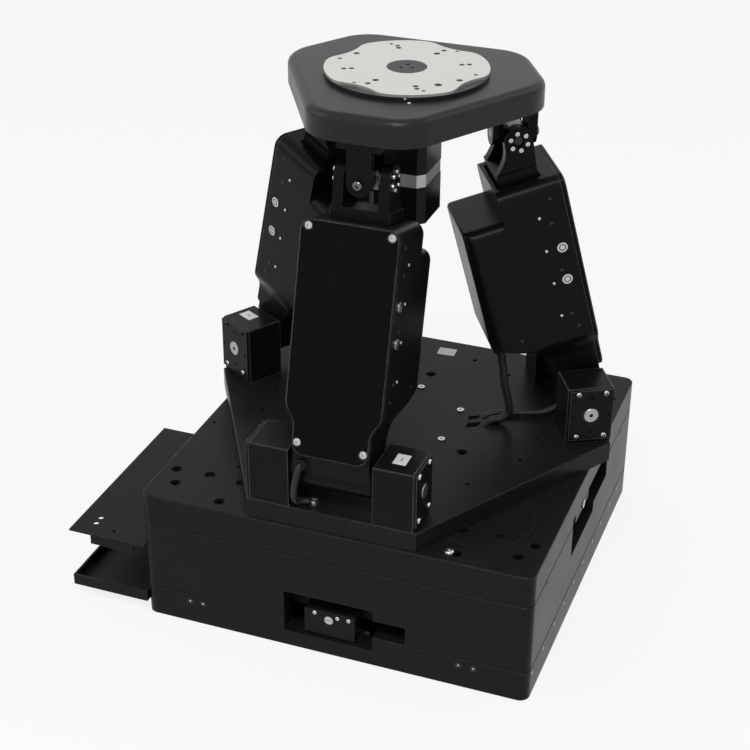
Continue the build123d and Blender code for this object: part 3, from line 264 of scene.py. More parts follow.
def buildFineGrain():
    # fine = millimetre-scale noise, broad = hand-sized cloud, specks = sparse bright dots of dust
    group, given, result = startGroup(
        "fineGrain",
        {"Grain": 900.0, "Cloud": 22.0, "Dust": 260.0},
        {"Fine": "NodeSocketFloat", "Broad": "NodeSocketFloat", "Specks": "NodeSocketFloat"},
    )
    coords = group.nodes.new("ShaderNodeTexCoord")
    group.links.new(
        addNoise(group, coords.outputs["Object"], given.outputs["Grain"], 2.0, 0.6), result.inputs["Fine"]
    )
    group.links.new(
        addNoise(group, coords.outputs["Object"], given.outputs["Cloud"], 3.0, 0.55), result.inputs["Broad"]
    )
    dots = addNoise(group, coords.outputs["Object"], given.outputs["Dust"], 1.0, 0.5)
    raised = addMath(group, "SUBTRACT", dots, 0.72)
    group.links.new(addMath(group, "MULTIPLY", raised, 9.0, clamp=True), result.inputs["Specks"])
    return group


def buildBrushedLines():
    # noise squeezed hard along one direction, so it reads as fine parallel lines
    group, given, result = startGroup(
        "brushedLines", {"Along": 14.0, "Across": 1600.0}, {"Lines": "NodeSocketFloat"}
    )
    coords = group.nodes.new("ShaderNodeTexCoord")
    apart = group.nodes.new("ShaderNodeSeparateXYZ")
    group.links.new(coords.outputs["Object"], apart.inputs[0])
    together = group.nodes.new("ShaderNodeCombineXYZ")
    for index, label in enumerate(("Along", "Across", "Across")):
        stretched = addMath(group, "MULTIPLY", apart.outputs[index], given.outputs[label])
        group.links.new(stretched, together.inputs[index])
    group.links.new(addNoise(group, together.outputs[0], 1.0, 3.0, 0.6), result.inputs["Lines"])
    return group


def buildTurnedRings():
    # noise read along the distance from the z axis, so it reads as rings left by a lathe
    group, given, result = startGroup("turnedRings", {"Fineness": 1500.0}, {"Rings": "NodeSocketFloat"})
    coords = group.nodes.new("ShaderNodeTexCoord")
    flat = group.nodes.new("ShaderNodeVectorMath")
    flat.operation = "MULTIPLY"
    flat.inputs[1].default_value = (1.0, 1.0, 0.0)
    group.links.new(coords.outputs["Object"], flat.inputs[0])
    length = group.nodes.new("ShaderNodeVectorMath")
    length.operation = "LENGTH"
    group.links.new(flat.outputs[0], length.inputs[0])
    along = addMath(group, "MULTIPLY", length.outputs["Value"], given.outputs["Fineness"])
    line = group.nodes.new("ShaderNodeCombineXYZ")
    group.links.new(along, line.inputs[0])
    group.links.new(addNoise(group, line.outputs[0], 1.0, 2.0, 0.5), result.inputs["Rings"])
    return group


edgeWearAndHighlight = buildEdgeWearAndHighlight()
fineGrain = buildFineGrain()
brushedLines = buildBrushedLines()
turnedRings = buildTurnedRings()


# finishes


def startFinish(name, values):
    finish = bpy.data.materials.new(name)
    finish.use_nodes = True
    tree = finish.node_tree
    shader = tree.nodes["Principled BSDF"]
    shader.inputs["Base Color"].default_value = (*values["colour"], 1.0)
    shader.inputs["Roughness"].default_value = values["roughness"]
    shader.inputs["Metallic"].default_value = values.get("metal", 0.0)
    shader.inputs["Specular IOR Level"].default_value = values.get("shine", 0.5)
    finish.diffuse_color = (*values["colour"], 1.0)
    return finish, tree, shader


def addGroup(tree, group, **settings):
    node = tree.nodes.new("ShaderNodeGroup")
    node.node_tree = group
    for label, value in settings.items():
        node.inputs[label].default_value = value
    return node


def mixColour(tree, mask, low, high):
    node = tree.nodes.new("ShaderNodeMix")
    node.data_type = "RGBA"
    for socket, value in ((node.inputs[6], low), (node.inputs[7], high)):
        if isinstance(value, tuple):
            socket.default_value = (*value, 1.0)
        else:
            tree.links.new(value, socket)
    tree.links.new(mask, node.inputs[0])
    return node.outputs[2]


def spread(tree, mask, low, high):
    node = tree.nodes.new("ShaderNodeMapRange")
    node.inputs["To Min"].default_value = low
    node.inputs["To Max"].default_value = high
    tree.links.new(mask, node.inputs["Value"])
    return node.outputs["Result"]


def addBump(tree, shader, height, distance, strength):
    node = tree.nodes.new("ShaderNodeBump")
    node.inputs["Distance"].default_value = distance
    node.inputs["Strength"].default_value = strength
    tree.links.new(height, node.inputs["Height"])
    tree.links.new(node.outputs["Normal"], shader.inputs["Normal"])


dustColour = {"onMetal": (0.3, 0.29, 0.27), "onSoft": (0.35, 0.34, 0.32)}


def anodisedFinish(name, values):
    # near-black dyed oxide: grain in colour, roughness and bump, thin bright edges that are partly wear and partly a
    # painted highlight, a little dust
    finish, tree, shader = startFinish(name, values)
    grain = addGroup(tree, fineGrain, Grain=values["grain"], Cloud=values["cloud"], Dust=values["dust"])
    wearAndHighlight = addGroup(tree, edgeWearAndHighlight, Width=values["edgeWidth"], Strength=values["edgeStrength"], Breakup=70.0)
    paler = tuple(1.55 * part for part in values["colour"])
    dyed = mixColour(tree, grain.outputs["Broad"], values["colour"], paler)
    grainy = mixColour(tree, spread(tree, grain.outputs["Fine"], 0.0, 0.5), dyed, values["fleck"])
    specks = spread(tree, grain.outputs["Specks"], 0.0, values["dustShare"])
    dusty = mixColour(tree, specks, grainy, dustColour["onMetal"])
    # edges lightened towards the edge colour by the mask: partly bare-metal wear, partly a painted highlight
    wornAndHighlit = mixColour(tree, wearAndHighlight.outputs["Mask"], dusty, values["edgeWearAndHighlightColour"])
    tree.links.new(wornAndHighlit, shader.inputs["Base Color"])
    low, high = values["roughness"] - values["roughSwing"], values["roughness"] + values["roughSwing"]
    tree.links.new(spread(tree, grain.outputs["Broad"], low, high), shader.inputs["Roughness"])
    addBump(tree, shader, grain.outputs["Fine"], values["bump"], 0.35)
    return finish


def metalFinish(name, values):
    # bare metal: brushed lines or lathe rings in roughness, colour and bump, darker where dust gathers
    finish, tree, shader = startFinish(name, values)
    if values.get("rings"):
        lines = addGroup(tree, turnedRings, Fineness=values["rings"]).outputs["Rings"]
    else:
        lines = addGroup(tree, brushedLines, Along=values["along"], Across=values["across"]).outputs["Lines"]
    grain = addGroup(tree, fineGrain, Grain=1400.0, Cloud=35.0, Dust=200.0)
    darker = tuple(values["dark"] * part for part in values["colour"])
    toned = mixColour(tree, lines, darker, values["colour"])
    clouded = mixColour(tree, spread(tree, grain.outputs["Broad"], 0.0, 0.3), toned, darker)
    tree.links.new(clouded, shader.inputs["Base Color"])
    low, high = values["roughness"] - 0.07, values["roughness"] + 0.1
    tree.links.new(spread(tree, lines, low, high), shader.inputs["Roughness"])
    addBump(tree, shader, lines, values["bump"], 0.4)
    return finish


def softFinish(name, values):
    # moulded jacket, resin, paper or paint: fine mottling in colour and bump, scuffs in roughness
    finish, tree, shader = startFinish(name, values)
    grain = addGroup(tree, fineGrain, Grain=values["grain"], Cloud=values["cloud"], Dust=180.0)
    mottled = mixColour(tree, grain.outputs["Broad"], values["colour"], values["second"])
    specks = spread(tree, grain.outputs["Specks"], 0.0, values["dustShare"])
    flecked = mixColour(tree, specks, mottled, dustColour["onSoft"])
    tree.links.new(flecked, shader.inputs["Base Color"])
    low, high = values["roughness"] - 0.08, values["roughness"] + 0.08
    tree.links.new(spread(tree, grain.outputs["Broad"], low, high), shader.inputs["Roughness"])
    addBump(tree, shader, grain.outputs["Fine"], values["bump"], 0.5)
    return finish


bodyBlack = anodisedFinish(
    "satinBlackAnodised",
    {
        "colour": (0.0080, 0.0077, 0.0075), "fleck": (0.014, 0.0135, 0.013), "edgeWearAndHighlightColour": (0.075, 0.074, 0.072),
        "roughness": 0.33, "roughSwing": 0.05, "shine": 0.085, "grain": 1100.0, "cloud": 16.0, "dust": 240.0,
        "dustShare": 0.10, "edgeWidth": 0.0006, "edgeStrength": 0.7, "bump": 0.00003,
    },
)
legBlack = anodisedFinish(
    "deepBlackAnodised",
    {
        "colour": (0.0034, 0.0033, 0.0036), "fleck": (0.0065, 0.0063, 0.0065), "edgeWearAndHighlightColour": (0.040, 0.040, 0.041),
        "roughness": 0.30, "roughSwing": 0.04, "shine": 0.075, "grain": 1200.0, "cloud": 14.0, "dust": 260.0,
        "dustShare": 0.06, "edgeWidth": 0.0006, "edgeStrength": 0.6, "bump": 0.00002,
    },
)
# bright, wide edge colour on the hinge posts: a painted highlight along the edges, partly wear
postBlack = anodisedFinish(
    "blackWithPaintedEdgeHighlight",
    {
        "colour": (0.0042, 0.0042, 0.0044), "fleck": (0.008, 0.008, 0.008), "edgeWearAndHighlightColour": (0.14, 0.14, 0.144),
        "roughness": 0.30, "roughSwing": 0.04, "shine": 0.08, "grain": 1200.0, "cloud": 20.0, "dust": 260.0,
        "dustShare": 0.06, "edgeWidth": 0.0010, "edgeStrength": 1.0, "bump": 0.00002,
    },
)
platformBlack = anodisedFinish(
    "warmBlackAnodised",
    {
        "colour": (0.0105, 0.0098, 0.0087), "fleck": (0.016, 0.0150, 0.0135), "edgeWearAndHighlightColour": (0.028, 0.026, 0.024),
        "roughness": 0.34, "roughSwing": 0.03, "shine": 0.20, "grain": 1300.0, "cloud": 12.0, "dust": 260.0,
        "dustShare": 0.06, "edgeWidth": 0.0004, "edgeStrength": 0.3, "bump": 0.00002,
    },
)
# bright edge colour on the leg covers: a painted highlight along the cover edge, partly wear
coverBlack = anodisedFinish(
    "smoothCoverBlack",
    {
        "colour": (0.0022, 0.0021, 0.0030), "fleck": (0.004, 0.004, 0.0052), "edgeWearAndHighlightColour": (0.17, 0.17, 0.18),
        "roughness": 0.24, "roughSwing": 0.03, "shine": 0.05, "grain": 1500.0, "cloud": 10.0, "dust": 300.0,
        "dustShare": 0.04, "edgeWidth": 0.0009, "edgeStrength": 1.0, "bump": 0.00001,
    },
)
trayBlack = anodisedFinish(
    "sheetTrayBlack",
    {
        "colour": (0.0070, 0.0070, 0.0066), "fleck": (0.013, 0.0125, 0.012), "edgeWearAndHighlightColour": (0.09, 0.088, 0.085),
        "roughness": 0.40, "roughSwing": 0.06, "shine": 0.09, "grain": 700.0, "cloud": 24.0, "dust": 200.0,
        "dustShare": 0.15, "edgeWidth": 0.0006, "edgeStrength": 0.9, "bump": 0.00005,
    },
)
motorBlack = softFinish(
    "motorPaintBlack",
    {"colour": (0.0045, 0.0050, 0.0070), "second": (0.0075, 0.0085, 0.0120), "roughness": 0.28, "shine": 0.12,
     "grain": 800.0, "cloud": 30.0, "dustShare": 0.05, "bump": 0.00003},
)
# near-black painted shade: stands in for the shade inside sockets, counterbores and holes
paintedShadeBlack = softFinish(
    "paintedShadeOpeningBlack",
    {"colour": (0.0012, 0.0012, 0.0013), "second": (0.0025, 0.0025, 0.0026), "roughness": 0.6, "shine": 0.05,
     "grain": 900.0, "cloud": 50.0, "dustShare": 0.0, "bump": 0.00002},
)
steelBright = metalFinish(
    "screwSteel",
    {"colour": (0.62, 0.61, 0.59), "metal": 1.0, "roughness": 0.26, "along": 300.0, "across": 1800.0,
     "dark": 0.72, "bump": 0.00002},
)
steelBlack = metalFinish(
    "blackenedSteel",
    {"colour": (0.035, 0.034, 0.033), "metal": 0.7, "roughness": 0.34, "along": 300.0, "across": 1500.0,
     "dark": 0.6, "bump": 0.00002},
)
steelGround = metalFinish(
    "groundSteel",
    {"colour": (0.42, 0.42, 0.42), "metal": 1.0, "roughness": 0.30, "along": 30.0, "across": 1700.0,
     "dark": 0.75, "bump": 0.00002},
)
steelPin = metalFinish(
    "oiledPinSteel",
    {"colour": (0.17, 0.17, 0.17), "metal": 1.0, "roughness": 0.28, "along": 60.0, "across": 1500.0,
     "dark": 0.6, "bump": 0.00002},
)
magnetMetal = metalFinish(
    "nickelMagnet",
    {"colour": (0.34, 0.34, 0.35), "metal": 1.0, "roughness": 0.24, "along": 80.0, "across": 900.0,
     "dark": 0.8, "bump": 0.00002},
)
bushBronze = metalFinish(
    "oiledBronze",
    {"colour": (0.050, 0.038, 0.026), "metal": 0.8, "roughness": 0.38, "along": 120.0, "across": 1400.0,
     "dark": 0.7, "bump": 0.00002},
)
bandSilver = metalFinish(
    "motorBandAluminium",
    {"colour": (0.58, 0.58, 0.59), "metal": 0.6, "roughness": 0.42, "along": 20.0, "across": 1500.0,
     "dark": 0.78, "bump": 0.00003},
)
plateSilver = metalFinish(
    "mountingPlateAluminium",
    {"colour": (0.67, 0.665, 0.64), "metal": 1.0, "roughness": 0.36, "along": 26.0, "across": 1300.0,
     "dark": 0.90, "bump": 0.00002},
)
hubBlack = metalFinish(
    "turnedTableBlack",
    {"colour": (0.030, 0.029, 0.028), "metal": 0.5, "shine": 0.15, "roughness": 0.36, "rings": 1300.0,
     "dark": 0.7, "bump": 0.00002},
)
coilResin = softFinish(
    "castCoilResin",
    {"colour": (0.012, 0.012, 0.014), "second": (0.02, 0.02, 0.023), "roughness": 0.28, "shine": 0.5,
     "grain": 500.0, "cloud": 40.0, "dustShare": 0.2, "bump": 0.00005},
)
cableJacket = softFinish(
    "cableJacket",
    {"colour": (0.012, 0.012, 0.013), "second": (0.020, 0.020, 0.021), "roughness": 0.48, "shine": 0.25,
     "grain": 650.0, "cloud": 60.0, "dustShare": 0.08, "bump": 0.00006},
)
labelPaper = softFinish(
    "whiteLabel",
    {"colour": (0.80, 0.80, 0.79), "second": (0.74, 0.74, 0.73), "roughness": 0.6, "shine": 0.4,
     "grain": 1500.0, "cloud": 200.0, "dustShare": 0.1, "bump": 0.00001},
)
labelInk = softFinish(
    "labelInk",
    {"colour": (0.02, 0.02, 0.02), "second": (0.04, 0.04, 0.04), "roughness": 0.6, "shine": 0.3,
     "grain": 1500.0, "cloud": 200.0, "dustShare": 0.0, "bump": 0.00001},
)

finishBySlot = {
    "body_black": bodyBlack, "cover_black": coverBlack, "tray_black": trayBlack, "rail_steel": steelGround,
    "magnet_steel": magnetMetal, "coil_resin": coilResin, "screw_steel": steelBright, "pin_steel": steelPin,
    "bush_bronze": bushBronze, "motor_black": motorBlack, "band_silver": bandSilver,
    "plate_silver": plateSilver, "cable_black": cableJacket,
}
finishByNode = {
    "joint_2_yoke_pins": steelBlack,
    "platform_plate": platformBlack, "table_flange": hubBlack, "hinge_posts": postBlack, "hinge_caps": postBlack,
    "platform_clevises": legBlack,
}
for leg in range(1, 4):
    finishByNode[f"leg_{leg}_drive"] = steelGround
    finishByNode[f"leg_{leg}_hinge_shaft"] = steelGround
    finishByNode[f"leg_{leg}_housing"] = legBlack
    finishByNode[f"leg_{leg}_yoke"] = legBlack
slotOfNode = {part["node"]: part["material_slot"] for part in frame["record"]["subparts"]}
for nodeName, node in frame["nodes"].items():
    finish = finishByNode.get(nodeName, finishBySlot[slotOfNode[nodeName]])
    if not node.material_slots:
        node.data.materials.append(finish)
    for place in node.material_slots:
        place.material = finish
print("finishes made:", len(bpy.data.materials))


# screws


def capScrewShape(headRadius, headHeight, socket, sides=24):
    # cylinder head with a broken edge and a hexagon socket half its height deep
    deep = headHeight * 0.45
    return turnedShape(
        [
            (0.0, 0.0), (headRadius, 0.0), (headRadius, headHeight * 0.86), (headRadius * 0.9, headHeight),
            (socket / 2 * 1.05, headHeight), (socket / 2, headHeight - 0.0001), (socket / 2, headHeight - deep),
            (0.0, headHeight - deep * 1.25),
        ],
        sides,
        hexRows=(5, 6),
    )


def domeScrewShape(headRadius, headHeight, socket, sides=20):
    # button head: a quarter ellipse from rim to socket
    rise = np.linspace(0.0, 1.0, 5)[:-1] * np.pi / 2
    dome = [(headRadius * (1 - 0.55 * (1 - np.cos(turn))), headHeight * np.sin(turn)) for turn in rise]
    return turnedShape(
        [(0.0, -0.0002), (headRadius, -0.0002)]
        + dome[1:]
        + [
            (socket / 2 * 1.06, headHeight), (socket / 2, headHeight - 0.0002),
            (socket / 2, headHeight * 0.45), (0.0, headHeight * 0.35),
        ],
        sides,
        hexRows=(6, 7),
    )


def socketShadeRing(inner, outer, low, high):
    # painted shade in the socket: a hexagon groove drawn as a closed ring, just proud of the head
    return ringShape([(inner, low), (outer, low), (outer, high), (inner, high)], 24, hexRows=(0, 1, 2, 3))


# each head is its radius, its height and the width of its socket
hingeCap = {
    "radial": station["hingeRadius"], "height": station["hingeHeight"], "face": 0.0850,
    "head": (0.0031, 0.0017, 0.0030), "plugHead": (0.0016, 0.0004, 0.0014),
    "groove": (0.0012, 0.00175, 0.0012, 0.00178),  # inner and outer radius, low and high
    "screws": ((-0.014, 0.024), (0.014, 0.024), (-0.014, -0.024), (0.014, -0.024)),  # radial, up
    "plugs": ((-0.0187, -0.001), (0.0187, -0.001), (0.0, -0.019), (0.0, 0.019)),
    "darkPair": (2, -1),  # on this cap of the left leg the two upper screws are black
}


def onHingeCaps(spots, keep):
    # spots (radial, up) on the outer face of every hinge cap that keep(leg, side, row) lets through
    places, axes = [], []
    for leg in range(3):
        for side in (-1, 1):
            chosen = np.array([spot for row, spot in enumerate(spots) if keep(leg, side, row)]).reshape(-1, 2)
            local = np.column_stack(
                [np.full(len(chosen), side * hingeCap["face"]), chosen + (hingeCap["radial"], hingeCap["height"])]
            )
            world, frameAxes = stationToWorld(leg, local)
            places.append(world)
            axes.append(np.tile(frameAxes[0] * side, (len(chosen), 1)))
    return np.vstack(places), np.vstack(axes)


def isDark(leg, side, row):
    return (leg, side) == hingeCap["darkPair"] and row < 2


capScrew = domeScrewShape(*hingeCap["head"])
places, axes = onHingeCaps(hingeCap["screws"], lambda leg, side, row: not isDark(leg, side, row))
addPiece("hingeCapScrews", capScrew, places, axes, "x_carriage", steelBright)
# near-black rings on the cap screws: painted shade in their sockets
addPiece(
    "hingeCapSocketShade", socketShadeRing(*hingeCap["groove"]), places, axes, "x_carriage", paintedShadeBlack,
)
places, axes = onHingeCaps(hingeCap["screws"], isDark)
addPiece("hingeCapDarkScrews", capScrew, places, axes, "x_carriage", steelBlack)
# the hinge-cap plugs take the near-black painted-shade finish
places, axes = onHingeCaps(hingeCap["plugs"], lambda leg, side, row: True)
capPlug = domeScrewShape(*hingeCap["plugHead"], 12)
addPiece("hingeCapPlugs", capPlug, places, axes, "x_carriage", paintedShadeBlack)

jointRing = {
    "height": float(np.hypot(0.1755 - 0.103, 0.468 - 0.197)), "face": 0.027, "ring": 0.0085,
    "head": (0.0024, 0.0022, 0.0020), "count": 6, "start": 30.0,
}
turns = np.radians(jointRing["start"]) + np.arange(jointRing["count"]) / jointRing["count"] * 2 * np.pi
for leg in range(3):
    places, axes = [], []
    for side in (-1, 1):
        local = np.stack(
            [
                np.full(jointRing["count"], side * jointRing["face"]),
                jointRing["ring"] * np.cos(turns),
                jointRing["height"] + jointRing["ring"] * np.sin(turns),
            ],
            axis=1,
        )
        world, frameAxes = legToWorld(leg, local)
        places.append(world)
        axes.append(np.tile(frameAxes[0] * side, (jointRing["count"], 1)))
    addPiece(
        f"jointRingScrews{leg + 1}",
        capScrewShape(*jointRing["head"], 12),
        np.vstack(places), np.vstack(axes), f"rod_{leg + 1}", steelBright,
    )

legSide = {
    "half": 0.0475,
    "large": ((0.0148, 0.1708), (0.0129, 0.1360)),  # y outward, z up the leg
    "bright": ((-0.0007, 0.2072), (-0.0010, 0.1710), (-0.0008, 0.1349), (-0.0006, 0.0977)),
    "small": (
        (0.0133, 0.2244), (0.0097, 0.1985), (0.0093, 0.1466), (0.0093, 0.0967), (0.0140, 0.0811), (-0.0446, 0.0827),
    ),
    "largeHead": (0.0052, 0.0012, 0.0018),
    "brightHead": (0.0017, 0.0007, 0.0014),
    "smallHead": (0.0019, 0.0005, 0.0018),
    "groove": (0.0024, 0.0033, 0.0009, 0.00123),
}


def legSideScrews(name, leg, spots, shape, material):
    # the same spots on both sides of the leg
    spots = np.array(spots, float)
    places, axes = [], []
    for side in (-1, 1):
        local = np.column_stack([np.full(len(spots), side * legSide["half"]), spots])
        world, frameAxes = legToWorld(leg, local)
        places.append(world)
        axes.append(np.tile(frameAxes[0] * side, (len(spots), 1)))
    addPiece(
        f"{name}{leg + 1}", shape, np.vstack(places), np.vstack(axes), f"leg_{leg + 1}", material,
    )


for leg in range(3):
    legSideScrews("legBolts", leg, legSide["large"], capScrewShape(*legSide["largeHead"]), steelBright)
    # near-black rings on the leg bolts: painted shade in their sockets
    legSideScrews("legBoltSocketShade", leg, legSide["large"], socketShadeRing(*legSide["groove"]), paintedShadeBlack)
    legSideScrews("legGrubScrews", leg, legSide["bright"], domeScrewShape(*legSide["brightHead"], 12), steelBright)
    legSideScrews("legPlugs", leg, legSide["small"], domeScrewShape(*legSide["smallHead"], 12), steelBlack)

slabTop = 0.1425
plateTop = 0.1635
slabScrew = {"silver": ((0.1136, -0.1846), (-0.1136, 0.1846)), "head": (0.0048, 0.0024, 0.003)}
spots = np.array(slabScrew["silver"])
addPiece(
    "slabButtonScrews",
    domeScrewShape(*slabScrew["head"]),
    np.column_stack([spots, np.full(len(spots), slabTop)]), (0, 0, 1), "x_carriage", steelBright,
)

slabBolt = {
    "places": ((0.186, 0.147), (0.176, 0.170), (0.121, 0.185)), "sink": 0.0065, "head": (0.005, 0.0056, 0.005),
}
signs = np.array([[sx, sy] for sx in (-1, 1) for sy in (-1, 1)], float)
spots = (np.array(slabBolt["places"])[:, None, :] * signs[None]).reshape(-1, 2)
# bolt heads deep in their counterbores in near-black: painted shade in the counterbores
addPiece(
    "slabBolts",
    capScrewShape(*slabBolt["head"]),
    np.column_stack([spots, np.full(len(spots), slabTop - slabBolt["sink"])]),
    (0, 0, 1), "x_carriage", paintedShadeBlack,
)
plateBolt = {"ring": 0.093, "start": 90.0}
turns = np.radians(plateBolt["start"] + np.arange(3) * 120.0)
# same painted shade on the plate bolts in their counterbores
addPiece(
    "plateBolts",
    capScrewShape(*slabBolt["head"]),
    np.column_stack(
        [plateBolt["ring"] * np.cos(turns), plateBolt["ring"] * np.sin(turns), np.full(3, plateTop - slabBolt["sink"])]
    ),
    (0, 0, 1), "x_carriage", paintedShadeBlack,
)

tableHoles = {
    "turn": -18.0, "seat": 0.5350, "thick": 0.0002, "lap": 0.0002,
    "pairs": (
        (0.0600, 0.0, 0.0060), (0.0663, 19.0, 0.0040), (0.0674, -39.7, 0.0038), (0.0610, -44.0, 0.0050),
        (0.0545, -44.0, 0.0054), (0.0585, 45.0, 0.0050), (0.0514, 45.0, 0.0050), (0.0588, 91.0, 0.0052),
        (0.0475, 91.0, 0.0062), (0.0658, 81.2, 0.0036),
    ),  # distance from the axis, turn in degrees, diameter
    "single": (0.0567, -22.7, 0.0070),
}
opposite = tuple((far, turn + 180.0, wide) for far, turn, wide in tableHoles["pairs"])
spots = np.array(tableHoles["pairs"] + opposite + (tableHoles["single"],))
turns = np.radians(spots[:, 1] + tableHoles["turn"])
# thin near-black discs at the bottom of the table holes: painted shade inside the holes
for wide in np.unique(spots[:, 2]):
    same = spots[:, 2] == wide
    radius, thick = wide / 2 + tableHoles["lap"], tableHoles["thick"]
    addPiece(
        f"tableHolePaintedShade{round(wide * 10000)}",
        turnedShape([(0.0, 0.0), (radius, 0.0), (radius, thick), (0.0, thick)], 20),
        np.column_stack(
            [
                spots[same, 0] * np.cos(turns[same]), spots[same, 0] * np.sin(turns[same]),
                np.full(same.sum(), tableHoles["seat"]),
            ]
        ),
        (0, 0, 1), "table", paintedShadeBlack,
    )
rimScrew = {
    "turn": -71.6, "rim": 0.0768, "height": 0.5334, "head": (0.0012, 0.0007, 0.0010),
    "platform": (0.0290, -0.0754, 0.5315), "platformHead": (0.0017, 0.0008, 0.0014),
}
turn = np.radians(rimScrew["turn"])
addPiece(
    "flangeRimScrew", domeScrewShape(*rimScrew["head"], 12),
    (rimScrew["rim"] * np.cos(turn), rimScrew["rim"] * np.sin(turn), rimScrew["height"]),
    (np.cos(turn), np.sin(turn), 0.0), "table", steelBright,
)
addPiece(
    "platformRimScrew", domeScrewShape(*rimScrew["platformHead"], 12),
    rimScrew["platform"], (0, 0, 1), "platform", steelBright,
)

frontScrew = {
    "face": -0.2,
    "base": ((-0.151, 0.0255), (-0.137, 0.0255), (0.131, 0.0255), (0.146, 0.0255)),
    "block": ((-0.0178, 0.0466), (0.006, 0.0455), (0.0176, 0.0455)),
    "blockFace": -0.196, "blockDrop": 0.002, "sink": 0.001,
    "head": (0.0034, 0.0012, 0.0026), "highlightHead": (0.0011, 0.0005, 0.0008), "blockHead": (0.0024, 0.0012, 0.0018),
}
spots = np.array(frontScrew["base"])
addPiece(
    "baseFrontScrews",
    capScrewShape(*frontScrew["head"], 16),
    np.column_stack([spots[:, 0], np.full(len(spots), frontScrew["face"] + frontScrew["sink"]), spots[:, 1]]),
    (0, -1, 0), "base", steelBlack,
)
# small bright domes in the middle of the black front screws: painted highlights on the screw heads
addPiece(
    "baseFrontScrewHighlights",
    domeScrewShape(*frontScrew["highlightHead"], 12),
    np.column_stack([spots[:, 0], np.full(len(spots), frontScrew["face"]), spots[:, 1]]),
    (0, -1, 0), "base", steelBright,
)
spots = np.array(frontScrew["block"])
addPiece(
    "frontBlockScrews",
    domeScrewShape(*frontScrew["blockHead"], 14),
    np.column_stack(
        [spots[:, 0], np.full(len(spots), frontScrew["blockFace"]), spots[:, 1] - frontScrew["blockDrop"]]
    ),
    (0, -1, 0), "y_carriage", steelBright,
)

sideScrew = {
    "face": 0.2,
    "row": (-0.186, -0.146, -0.106, -0.070, -0.031, 0.006, 0.046, 0.082, 0.122, 0.156),
    "rowHeight": 0.0255, "rowSink": 0.0004, "pairSink": 0.001,
    "rowHead": (0.0021, 0.0006, 0.0016), "pairHead": (0.0034, 0.0012, 0.0026),
    "pairs": ((-0.147, 0.103), (-0.141, 0.1), (0.147, 0.103), (0.156, 0.1)),
}
row = np.array(sideScrew["row"])
for side, label in ((1, "Right"), (-1, "Left")):
    addPiece(
        f"baseRow{label}Screws",
        domeScrewShape(*sideScrew["rowHead"], 12),
        np.column_stack(
            [
                np.full(len(row), side * (sideScrew["face"] - sideScrew["rowSink"])), row,
                np.full(len(row), sideScrew["rowHeight"]),
            ]
        ),
        (side, 0, 0), "base", steelBright,
    )
spots = np.array(sideScrew["pairs"])
addPiece(
    "middleRightScrews",
    capScrewShape(*sideScrew["pairHead"], 16),
    np.column_stack([np.full(len(spots), sideScrew["face"] - sideScrew["pairSink"]), spots]),
    (1, 0, 0), "y_carriage", steelBlack,
)
print("screws made")


# cable glands

glands = {
    "motor": {
        "at": (0.030, -0.066, 0.0815), "way": (0.0, 0.0, -1.0), "bore": 0.0053, "outer": 0.0085, "long": 0.0115,
    },
    "earth": {
        "at": (0.030, 0.0185, 0.009), "way": (0.0, 1.0, 0.0), "bore": 0.0036, "outer": 0.0058, "long": 0.0065,
    },
}
for leg in range(3):
    for label, values in glands.items():
        world, frameAxes = legToWorld(leg, [values["at"]])
        way = np.array(values["way"]) @ frameAxes
        inner, outer, long = values["bore"], values["outer"], values["long"]
        profile = [
            (inner, 0.0), (outer, 0.0), (outer, long * 0.45), (outer * 0.88, long * 0.6), (outer * 0.8, long),
            (inner * 1.06, long), (inner, long * 0.9),
        ]
        addPiece(
            f"{label}Gland{leg + 1}", ringShape(profile, 28), world, way, f"leg_{leg + 1}", cableJacket,
        )
print("glands made")


# labels with a plain number

labels = {
    "frontLabel": {"leg": 0, "across": -0.0626, "outward": 0.1753, "digit": "2", "turn": 0.0},
    "leftLabel": {"leg": 2, "across": -0.0610, "outward": 0.1815, "digit": "3", "turn": 60.0},
}
# each sheet is its two sides, its thickness and its corner radius
plainTag = {"at": (0.0002, 0.1473, plateTop), "sheet": (0.0195, 0.0155, 0.0003, 0.0012), "turn": -86.0}
labelSize = {
    "sheet": (0.0180, 0.0130, 0.0003, 0.0004), "postTop": 0.226, "digit": 0.0075, "ink": 0.00003, "inkLift": 0.00034,
}
addPiece(
    "plainTag", pillowPlate(*plainTag["sheet"], 4),
    plainTag["at"], (0, 0, 1), "x_carriage", labelPaper, spins=[plainTag["turn"]],
)
for name, values in labels.items():
    world, frameAxes = stationToWorld(values["leg"], [(values["across"], values["outward"], labelSize["postTop"])])
    addPiece(
        name, pillowPlate(*labelSize["sheet"], 3),
        world, (0, 0, 1), "x_carriage", labelPaper, spins=[values["turn"]],
    )
    curve = bpy.data.curves.new(name + "Number", "FONT")
    curve.body = values["digit"]
    curve.size = labelSize["digit"]
    curve.align_x = "CENTER"
    curve.align_y = "CENTER"
    curve.extrude = labelSize["ink"]
    written = addObject(name + "Number", curve)
    bpy.context.view_layer.update()
    mesh = bpy.data.meshes.new_from_object(written)
    bpy.data.objects.remove(written)
    spot = Vector(world[0]) + Vector((0, 0, labelSize["inkLift"]))
    mesh.transform(Matrix.Translation(spot) @ Matrix.Rotation(np.radians(values["turn"]), 4, "Z"))
    mesh.materials.clear()
    mesh.materials.append(labelInk)
    digit = addObject(name + "Digit", mesh)
    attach(digit, "x_carriage")
print("labels made")


# floor, light and camera


studio = {"reach": 6.0, "paint": 0.86, "whiteShare": 0.84, "skyForShading": 0.45, "skyForEyes": 1.0}


